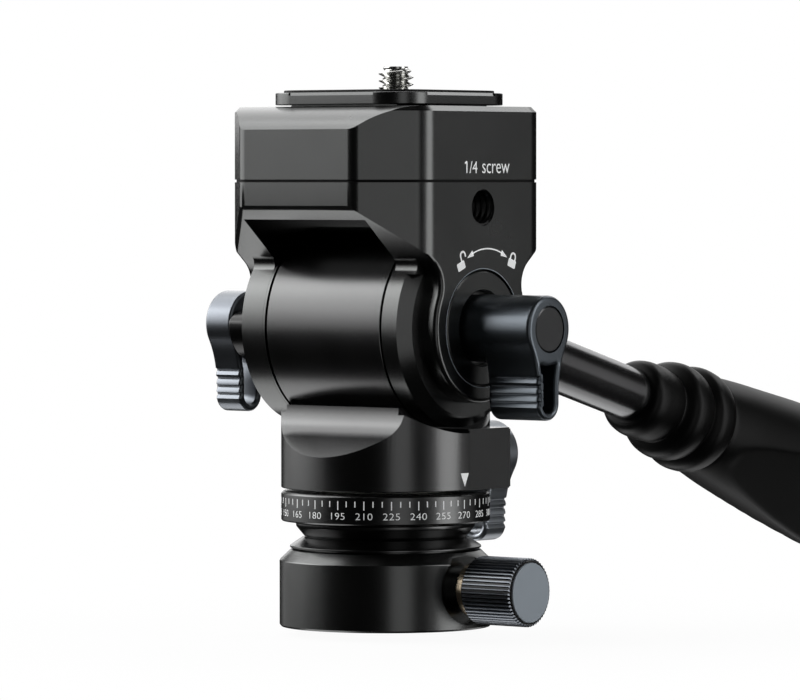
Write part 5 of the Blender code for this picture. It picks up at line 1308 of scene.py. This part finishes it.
@dataclass
class PlateClamp:
    """The clamp body, release knob, plate, pad and camera screw."""

    tilt_level: float = TILT_LEVEL
    bottom: float = 26.64
    top: float = 39.8
    offset: float = 0.85
    screw_offset: float = 2.0

    def build(self, yoke: Yoke, copies: RoundArray) -> None:
        """Builds every piece of the clamp.

        Args:
            yoke: Gives the eight-sided outline.
            copies: The tree that puts flutes round the release knob.
        """
        self.body(yoke)
        self.plate()
        self.screw()
        self.release(copies)

    def body(self, yoke: Yoke) -> None:
        """Eight-sided body with round front and back shoulders, and the pocket for the dovetail."""
        up, side = at(z=self.tilt_level), at(Facing.SIDE, z=self.tilt_level)
        body = Solid.slab([yoke.seen_from_above()], self.bottom - 2, self.top, up, 0.95, 0)
        level = self.top - 14.0
        bend = arc((15.5, level), 14.0, math.pi / 2, math.acos(12.0 / 14.0), 24)
        body.keep(Solid.slab([mirrored(bend + [(27.5, self.bottom)])], -27, 27, side))
        floor = 35.8
        lean = 2.0 / 3.7
        pocket = [(-20.1, floor), (15.71, floor), (15.71 - 6.0 * lean, floor + 6.0), (-20.1, floor + 6.0)]
        body.cut(Solid.slab([pocket], -13.3, 13.3, at(Facing.FRONT, z=self.tilt_level)),
                 Solid.block((-20.1, -5.8, 30.2), (-12.9, 5.8, floor + 2), up),
                 Solid.rod(SCREW_BORE, 17.7, 25, at(Facing.LEFT, z=RELEASE_LEVEL), 32, phase=0.3))
        well = [(3.8, 38.0), (3.8, 32.0), (SCREW_BORE, 32.0), (SCREW_BORE, 24.0)]
        for x, y in BODY_SCREWS:
            body.cut(Solid.turned(well, at(x=x, y=y, z=self.tilt_level), 32, phase=0.3))
        show("clamp_block", body, SATIN_BLACK, "tilt", ["clamp_body"], sharp=20.0)

    def plate(self) -> None:
        """Plate with side chamfers and a dovetail, and the rubber pad in its top."""
        place = at(x=self.offset, z=self.tilt_level)
        half, corner = 16.75, 7.2
        square = oblong(half, half, corner, 16)
        plate = Solid.slab([square], 40.1, 42.3, place, 0.18, 2)
        dovetail = [(-14.4, 36.1), (14.4, 36.1), (12.0, 40.5), (-12.0, 40.5)]
        plate.join(Solid.slab([dovetail], -13.0, 13.0, at(Facing.FRONT, x=self.offset, z=self.tilt_level)))
        inset = oblong(15.6, 15.6, 6.3, 16)
        well = [(3.475, 45.0), (3.475, 38.5), (6.7, 38.5), (6.7, 34.0)]
        plate.cut(Solid.slab([inset], 41.7, 45.0, place),
                  Solid.turned(well, at(x=self.offset, y=self.screw_offset, z=self.tilt_level), 64,
                               phase=0.3))
        wedge = [(half - 0.55, 42.3), (half - 0.55, 43.0), (half + 1, 43.0), (half + 1, 41.75),
                 (half, 41.75)]
        for quarter in range(4):
            spin = place @ Matrix.Rotation(math.pi / 2 * quarter, 4, "Z")
            plate.cut(Solid.slab([wedge], -9.8, 9.8, spin @ at(Facing.FRONT)))
        show("quick_plate", plate, SATIN_BLACK, "tilt", ["release_plate"])
        pad = oblong(15.3, 15.3, 6.0, 16)
        rubber = Solid.slab([pad], 42.0, 42.76, place, 0.15, 2)
        rubber.cut(Solid.rod(3.475, 41, 44, at(x=self.offset, y=self.screw_offset, z=self.tilt_level), 48,
                             phase=0.3))
        show("rubber_pad", rubber, PAD_RUBBER, "tilt", ["plate_pad"])

    def screw(self) -> None:
        """The camera screw: slotted flat head below, threaded end above."""
        place = at(x=self.offset, y=self.screw_offset, z=self.tilt_level)
        head = Solid.turned([(3.1, 40.3), (3.1, 38.2), (6.2, 38.2), (6.4, 38.0), (6.4, 36.6), (6.2, 36.4)],
                            place, 96)
        head.cut(Solid.block((-7, -0.7, 36.0), (7, 0.7, 37.2), place))
        thread = Thread(3.175, 1.27, 1.0, 40.2, 47.16, 64, 14).screw()
        thread.transform(place)
        show("threaded_camera_screw", merged([head.mesh, thread]), BRIGHT_STEEL, "camera_screw",
             ["camera_screw"])

    def release(self, copies: RoundArray) -> None:
        """Fluted release knob with its smooth cap."""
        place = at(Facing.LEFT, z=RELEASE_LEVEL)
        body = Solid.turned([(4.85, 30.3), (5.25, 29.9), (5.25, 23.1), (5.0, 22.8), (2.3, 22.8),
                             (2.3, 28.0), (1.0, 28.0)], place, 80)
        body.cut(Solid.rod(4.7, 29.0, 32, place, 80, phase=0.35))
        ribs = copies.mesh(flute(0.22, 0.08, 0.25, 6.4), 40, 5.24, 0.0, 9.0, LEVER_SLATE)
        ribs.transform(at(Facing.LEFT, x=-23.3, z=RELEASE_LEVEL))
        show("release_knob_body", merged([body.mesh, ribs]), LEVER_SLATE, "release_knob",
             ["release_knob"])
        cap = Solid.turned([(4.3, 30.6), (4.5, 30.45), (4.5, 29.3)], place, 80)
        show("release_knob_disc", cap, CAP_GREY, "release_knob", ["release_knob_cap"])


@dataclass
class DragHub:
    """The hub between the left arm and the drag lever, in a darker copy of the anodising as painted shade.
    """

    radius: float = 7.0
    crown: float = 2.9

    def build(self) -> None:
        """Builds the hub: round below, cut to a low crown above its axis."""
        r = self.radius
        top = [(x, y * self.crown / r) for x, y in arc((0, 0), r, math.pi / 2, 0.0, 20)]
        side = arc((0, 0), r, -0.08, -math.pi / 2, 28)
        hub = Solid.slab([mirrored(top + side)], 22.8, 31.65, at(Facing.SIDE_LEFT, z=TILT_LEVEL), 0.3, 3)
        hub.cut(Solid.rod(SCREW_BORE, 22, 33, at(Facing.LEFT, z=TILT_LEVEL), 32, phase=0.3))
        # The hub takes the darker copy of the anodising as painted shade.
        show("drag_hub_body", hub, PAINTED_SHADE_BLACK, "tilt", ["drag_hub"])


@dataclass
class Handle:
    """The dark tube and the moulded grip with its ribs and low side flats."""

    tube_radius: float = 4.95
    tube_start: float = 19.2
    tube_end: float = 111.2
    start: float = 51.5
    flat: float = 9.8
    flat_drop: float = math.radians(37)
    flat_from: float = 76.0
    steps: int = 128
    profile: list[tuple[float, float]] = field(default_factory=lambda: [
        (0.0, 5.25), (0.15, 5.9), (0.7, 6.6), (1.6, 7.05), (3.4, 7.3), (5.6, 7.3), (7.6, 7.1),
        (8.9, 6.85), (9.2, 7.2), (10.0, 8.5), (11.0, 9.15), (12.5, 9.35), (14.0, 9.2), (15.4, 8.8),
        (15.95, 8.45), (16.3, 8.9), (17.2, 9.75), (18.6, 10.05), (20.2, 9.95), (21.4, 9.6), (21.9, 9.25),
        (22.4, 9.4), (24.0, 9.63), (30.0, 10.36), (36.0, 10.92), (42.0, 11.47), (48.0, 12.02),
        (57.0, 12.65), (64.0, 13.2), (76.0, 13.7), (88.0, 13.55), (98.0, 12.9), (106.0, 12.2),
        (110.5, 11.9), (112.5, 11.55), (114.4, 10.7), (115.7, 9.2), (116.25, 7.4)])
    drops: tuple[Point, ...] = ((0.0, 0.15), (22.0, 0.32), (24.0, 0.42), (58.0, 1.75), (76.0, 1.85),
                                (98.0, 1.6), (200.0, 1.6))

    def drop_at(self, place: float) -> float:
        """How far the section's centre lies below the tube's axis."""
        for (near, first), (far, last) in zip(self.drops, self.drops[1:]):
            if place <= far:
                return first + (last - first) * max(place - near, 0.0) / (far - near)
        return self.drops[-1][1]

    def sections(self) -> list[tuple[float, float]]:
        """(place, radius) along the grip, with a smooth curve between the measured ones."""
        rows = self.profile
        out = []
        for index in range(len(rows) - 1):
            before = rows[max(index - 1, 0)]
            here, there = rows[index], rows[index + 1]
            beyond = rows[min(index + 2, len(rows) - 1)]
            span = there[0] - here[0]
            first = self.slope_of(before, here, there)
            last = self.slope_of(here, there, beyond)
            pieces = 3 if span < 4 else 6
            for step in range(pieces):
                t = step / pieces
                a, b = 2 * t ** 3 - 3 * t ** 2 + 1, t ** 3 - 2 * t ** 2 + t
                c, d = -2 * t ** 3 + 3 * t ** 2, t ** 3 - t ** 2
                radius = a * here[1] + b * span * first + c * there[1] + d * span * last
                out.append((here[0] + span * t, radius))
        return out + [rows[-1]]

    @staticmethod
    def slope_of(before: Point, here: Point, after: Point) -> float:
        """A slope that doesn't overshoot between measured points."""
        left = (here[1] - before[1]) / max(here[0] - before[0], 1e-6)
        right = (after[1] - here[1]) / max(after[0] - here[0], 1e-6)
        if before == here or here == after or left * right <= 0:
            return 0.0
        return 2 * left * right / (left + right)

    def skin(self, place: float, radius: float) -> list[Vector]:
        """One section of the grip, with its low side flats pressed in.

        Args:
            place: Distance along the grip.
            radius: The section's radius.

        Returns:
            The section's points in the handle's frame.
        """
        drop = self.drop_at(place)
        reach = min(max((place + self.start - self.flat_from) / 2.0, 0.0), 1.0)
        points = []
        for k in range(self.steps):
            turn = math.tau * k / self.steps
            point = Vector((radius * math.cos(turn), radius * math.sin(turn) + drop))
            for sign in (-1, 1):
                normal = Vector((sign * math.cos(self.flat_drop), math.sin(self.flat_drop)))
                over = point.dot(normal) - self.flat
                if over > 0:
                    soft = over * over / (over + 0.12)
                    point -= normal * soft * reach
            points.append(Vector((point.x, point.y, self.start + place)))
        return points

    def build(self) -> None:
        """Builds the tube and the grip."""
        matrix = HandleFrame().matrix()
        r, low, high = self.tube_radius, self.tube_start, self.tube_end
        tube = [(r, high), (r, low + 0.2), (r - 0.2, low), (3.3, low), (3.3, high)]
        show("handle_tube_body", Solid.turned(tube, matrix, 96, True), DARK_CHROME, "tilt",
             ["handle_tube"])
        build = bmesh.new()
        loops = [[build.verts.new(p) for p in self.skin(place, radius)]
                 for place, radius in self.sections()]
        for near, far in zip(loops, loops[1:]):
            for k in range(self.steps):
                after = (k + 1) % self.steps
                build.faces.new((near[k], near[after], far[after], far[k]))
        build.faces.new(list(reversed(loops[0])))
        build.faces.new(loops[-1])
        mesh = bpy.data.meshes.new("grip")
        build.to_mesh(mesh)
        build.free()
        grip = Solid(weld(mesh, matrix))
        grip.cut(Solid.rod(5.2, 40, 111.6, matrix, 96, phase=0.3))
        show("grip_body", grip, GRIP_RUBBER, "tilt", ["handle_grip"], sharp=40.0)


@dataclass(frozen=True)
class SoftBox:
    """A studio lamp whose light grows towards its top, as the part sees it.

    Attributes:
        name: Its name.
        sides: Azimuths of its left and right edges in degrees, 0 at -Y and 90 at +X.
        levels: Elevations of its lower and upper edges in degrees.
        radiance: Brightness at its lower and upper edges, 1 being white.
        bands: Number of lamps, one above the other.
        distance: Distance from the part, in metres.
    """

    name: str
    sides: tuple[float, float]
    levels: tuple[float, float]
    radiance: tuple[float, float]
    bands: int = 1
    distance: float = 1.3

    def build(self, target: Vector) -> None:
        """Adds its bands from the lowest up."""
        low, high = self.levels
        first, last = self.radiance
        tall = (high - low) / self.bands
        for band in range(self.bands):
            share = (band + 0.5) / self.bands
            self.band(target, low + (band + 0.5) * tall, tall, first + (last - first) * share, band)

    def band(self, target: Vector, level: float, tall: float, radiance: float, number: int) -> None:
        """Adds one lamp, turned to the target."""
        turn, rise = math.radians(sum(self.sides) / 2), math.radians(level)
        wide = math.radians(self.sides[1] - self.sides[0])
        way = Vector((math.sin(turn) * math.cos(rise), -math.cos(turn) * math.cos(rise), math.sin(rise)))
        light = bpy.data.lights.new(f"{self.name}_{number}", "AREA")
        light.shape = "RECTANGLE"
        light.size = 2 * self.distance * math.tan(wide / 2) * math.cos(rise)
        light.size_y = 2 * self.distance * math.tan(math.radians(tall) / 2)
        light.energy = math.pi * light.size * light.size_y * radiance
        lamp = linked(light.name, light)
        lamp.location = target + way * self.distance
        lamp.rotation_euler = (-way).to_track_quat("-Z", "Y").to_euler()
        lamp.visible_camera = False


@dataclass
class Studio:
    """White room for the camera, soft boxes for the reflections, pale floor, and the camera."""

    distance: float = 1.0505
    azimuth: float = math.radians(39)
    level: float = 0.0811
    aim: tuple[float, float, float] = (0.00204, 0.00165, 0.05015)
    lens: float = 260.0
    floor_level: float = -0.0016
    boxes: tuple[SoftBox, ...] = (
        SoftBox("front_left_low", (-104, -33), (-3, 21), (0.6, 2.95), 4),
        SoftBox("front_left_low_core", (-88, -46), (-3, 21), (0.6, 2.95), 4),
        SoftBox("front_left_mid", (-104, -33), (21, 38), (2.9, 2.8)),
        SoftBox("front_left_mid_core", (-88, -46), (21, 38), (2.9, 2.8)),
        SoftBox("front_left_high", (-104, -33), (38, 62), (2.8, 2.8)),
        SoftBox("left_low_box", (-112, -58), (-9, -3), (0.45, 0.45)),
        SoftBox("back_left_box", (-150, -106), (20, 64), (2.0, 2.0)),
        SoftBox("back_left_glow", (-150, -125), (2, 20), (1.6, 1.6)),
        SoftBox("back_glow", (-174, -150), (5, 44), (0.9, 0.9)),
        SoftBox("back_top_box", (168, 186), (30, 50), (3.2, 3.2)),
        SoftBox("under_left_box", (-130, -58), (-75, -42), (2.0, 2.0)),
        SoftBox("under_back_box", (172, 215), (-55, -28), (1.0, 1.0)),
        SoftBox("right_strip", (98, 126), (-30, 50), (2.1, 2.1)),
        SoftBox("right_wide", (84, 152), (-12, 26), (0.22, 0.22)),
        SoftBox("camera_side_card", (44, 68), (-25, 40), (0.6, 0.6)),
        SoftBox("top_box", (-20, 20), (70, 90), (0.3, 0.3)),
    )

    def build(self) -> None:
        """Sets up the whole stage."""
        scene = bpy.context.scene
        scene.view_settings.view_transform = "Standard"
        self.world(scene)
        self.floor()
        for box in self.boxes:
            box.build(Vector((0.0, 0.0, 0.055)))
        self.camera(scene)

    def world(self, scene: bpy.types.Scene) -> None:
        """A room that is white for the camera and dark between the soft boxes for the part."""
        world = bpy.data.worlds.new("studio_room")
        scene.world = world
        world.use_nodes = True
        tree = world.node_tree
        tree.nodes.clear()
        path = tree.nodes.new("ShaderNodeLightPath")
        white = tree.nodes.new("ShaderNodeBackground")
        white.inputs["Color"].default_value = (1.0, 1.0, 1.0, 1.0)
        dark = tree.nodes.new("ShaderNodeBackground")
        dark.inputs["Color"].default_value = (0.01, 0.01, 0.01, 1.0)
        mix = tree.nodes.new("ShaderNodeMixShader")
        end = tree.nodes.new("ShaderNodeOutputWorld")
        tree.links.new(path.outputs["Is Camera Ray"], mix.inputs[0])
        tree.links.new(dark.outputs[0], mix.inputs[1])
        tree.links.new(white.outputs[0], mix.inputs[2])
        tree.links.new(mix.outputs[0], end.inputs[0])

    def floor(self) -> None:
        """A white floor that only the camera sees, with the part's soft shadow near it."""
        mesh = bpy.data.meshes.new("floor")
        size, z = 6.0, self.floor_level
        mesh.from_pydata([(-size, -size, z), (size, -size, z), (size, size, z), (-size, size, z)], [],
                         [(0, 1, 2, 3)])
        floor = linked("floor", mesh)
        floor.visible_glossy = False
        floor.visible_diffuse = False
        floor.visible_shadow = False
        graph = Graph("studio_floor")
        graph.set("Base Color", (0.9, 0.9, 0.9, 1.0))
        graph.set("Roughness", 0.9)
        graph.set("Specular IOR Level", 0.0)
        distance = graph.node("ShaderNodeVectorMath", {"operation": "LENGTH"}, {0: graph.place()})
        far = graph.node("ShaderNodeMapRange", {"interpolation_type": "SMOOTHSTEP"},
                         {"Value": distance.out("Value"), "From Min": 0.03, "From Max": 0.13}).out()
        white = graph.node("ShaderNodeEmission", None, {"Color": (1.0, 1.0, 1.0, 1.0), "Strength": 1.0})
        mix = graph.node("ShaderNodeMixShader", None, {0: far * 0.05 + 0.95,
                                                      1: Wire(graph, graph.shader.outputs[0]),
                                                      2: white.out()})
        end = graph.tree.nodes["Material Output"]
        graph.tree.links.new(mix.node.outputs[0], end.inputs["Surface"])
        mesh.materials.append(graph.material)

    def camera(self, scene: bpy.types.Scene) -> None:
        """The camera at the photograph's direction and distance."""
        data = bpy.data.cameras.new("camera")
        data.lens = self.lens
        data.sensor_width = 36.0
        data.clip_start, data.clip_end = 0.05, 20.0
        camera = linked("camera", data)
        camera.location = (self.distance * math.sin(self.azimuth),
                           -self.distance * math.cos(self.azimuth), self.level)
        toward = Vector(self.aim) - camera.location
        camera.rotation_euler = toward.to_track_quat("-Z", "Y").to_euler()
        scene.camera = camera


def dress_inner_parts() -> None:
    """Gives each CAD piece that stays shown the finish of its slot."""
    slots = {entry["node"]: entry["material_slot"] for entry in frame["record"]["subparts"]}
    for name, node in frame["nodes"].items():
        if node.hide_render:
            continue
        node.data.materials.clear()
        node.data.materials.append(PLAIN_FINISHES[Slot(slots[name])].material())
        LOG.info("%s keeps its solid, finished as %s", name, slots[name])


def levers() -> list[Lever]:
    """The three levers, with where each one turns."""
    side, left = at(Facing.SIDE, z=TILT_LEVEL), at(Facing.SIDE_LEFT, z=TILT_LEVEL)
    return [
        Lever("tilt_lever_body", "tilt_lever", side, 21.0, 26.0, 37.6, -1, LEVER_SLATE, Slot.LEVER,
              "tilt_lock_lever", edge=0.8),
        Lever("drag_lever_body", "drag_lever", left, 32.0, 32.0, 38.2, 1, LEVER_SILVER, Slot.SILVER,
              "drag_lever"),
        # The pan lever takes the lighter copy of the dark lever paint, as painted light.
        Lever("pan_lever_body", "pan_lever", at(Facing.REAR, z=LOCK_LEVEL), 26.0, 26.0, 32.0, -1, PAN_LEVER_LIT_PAINT,
              Slot.LEVER, "pan_lock_lever"),
    ]


def main() -> None:
    """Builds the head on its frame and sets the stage."""
    logging.basicConfig(level=logging.INFO, format="%(message)s")
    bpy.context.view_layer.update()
    copies = RoundArray("round_array")
    yoke = Yoke()
    Base().build(copies)
    Foot().build(copies)
    PanSection().build()
    yoke.build()
    PlateClamp().build(yoke, copies)
    for lever in levers():
        lever.build()
    DragHub().build()
    Handle().build()
    dress_inner_parts()
    Studio().build()


if __name__ == "__main__":
    main()
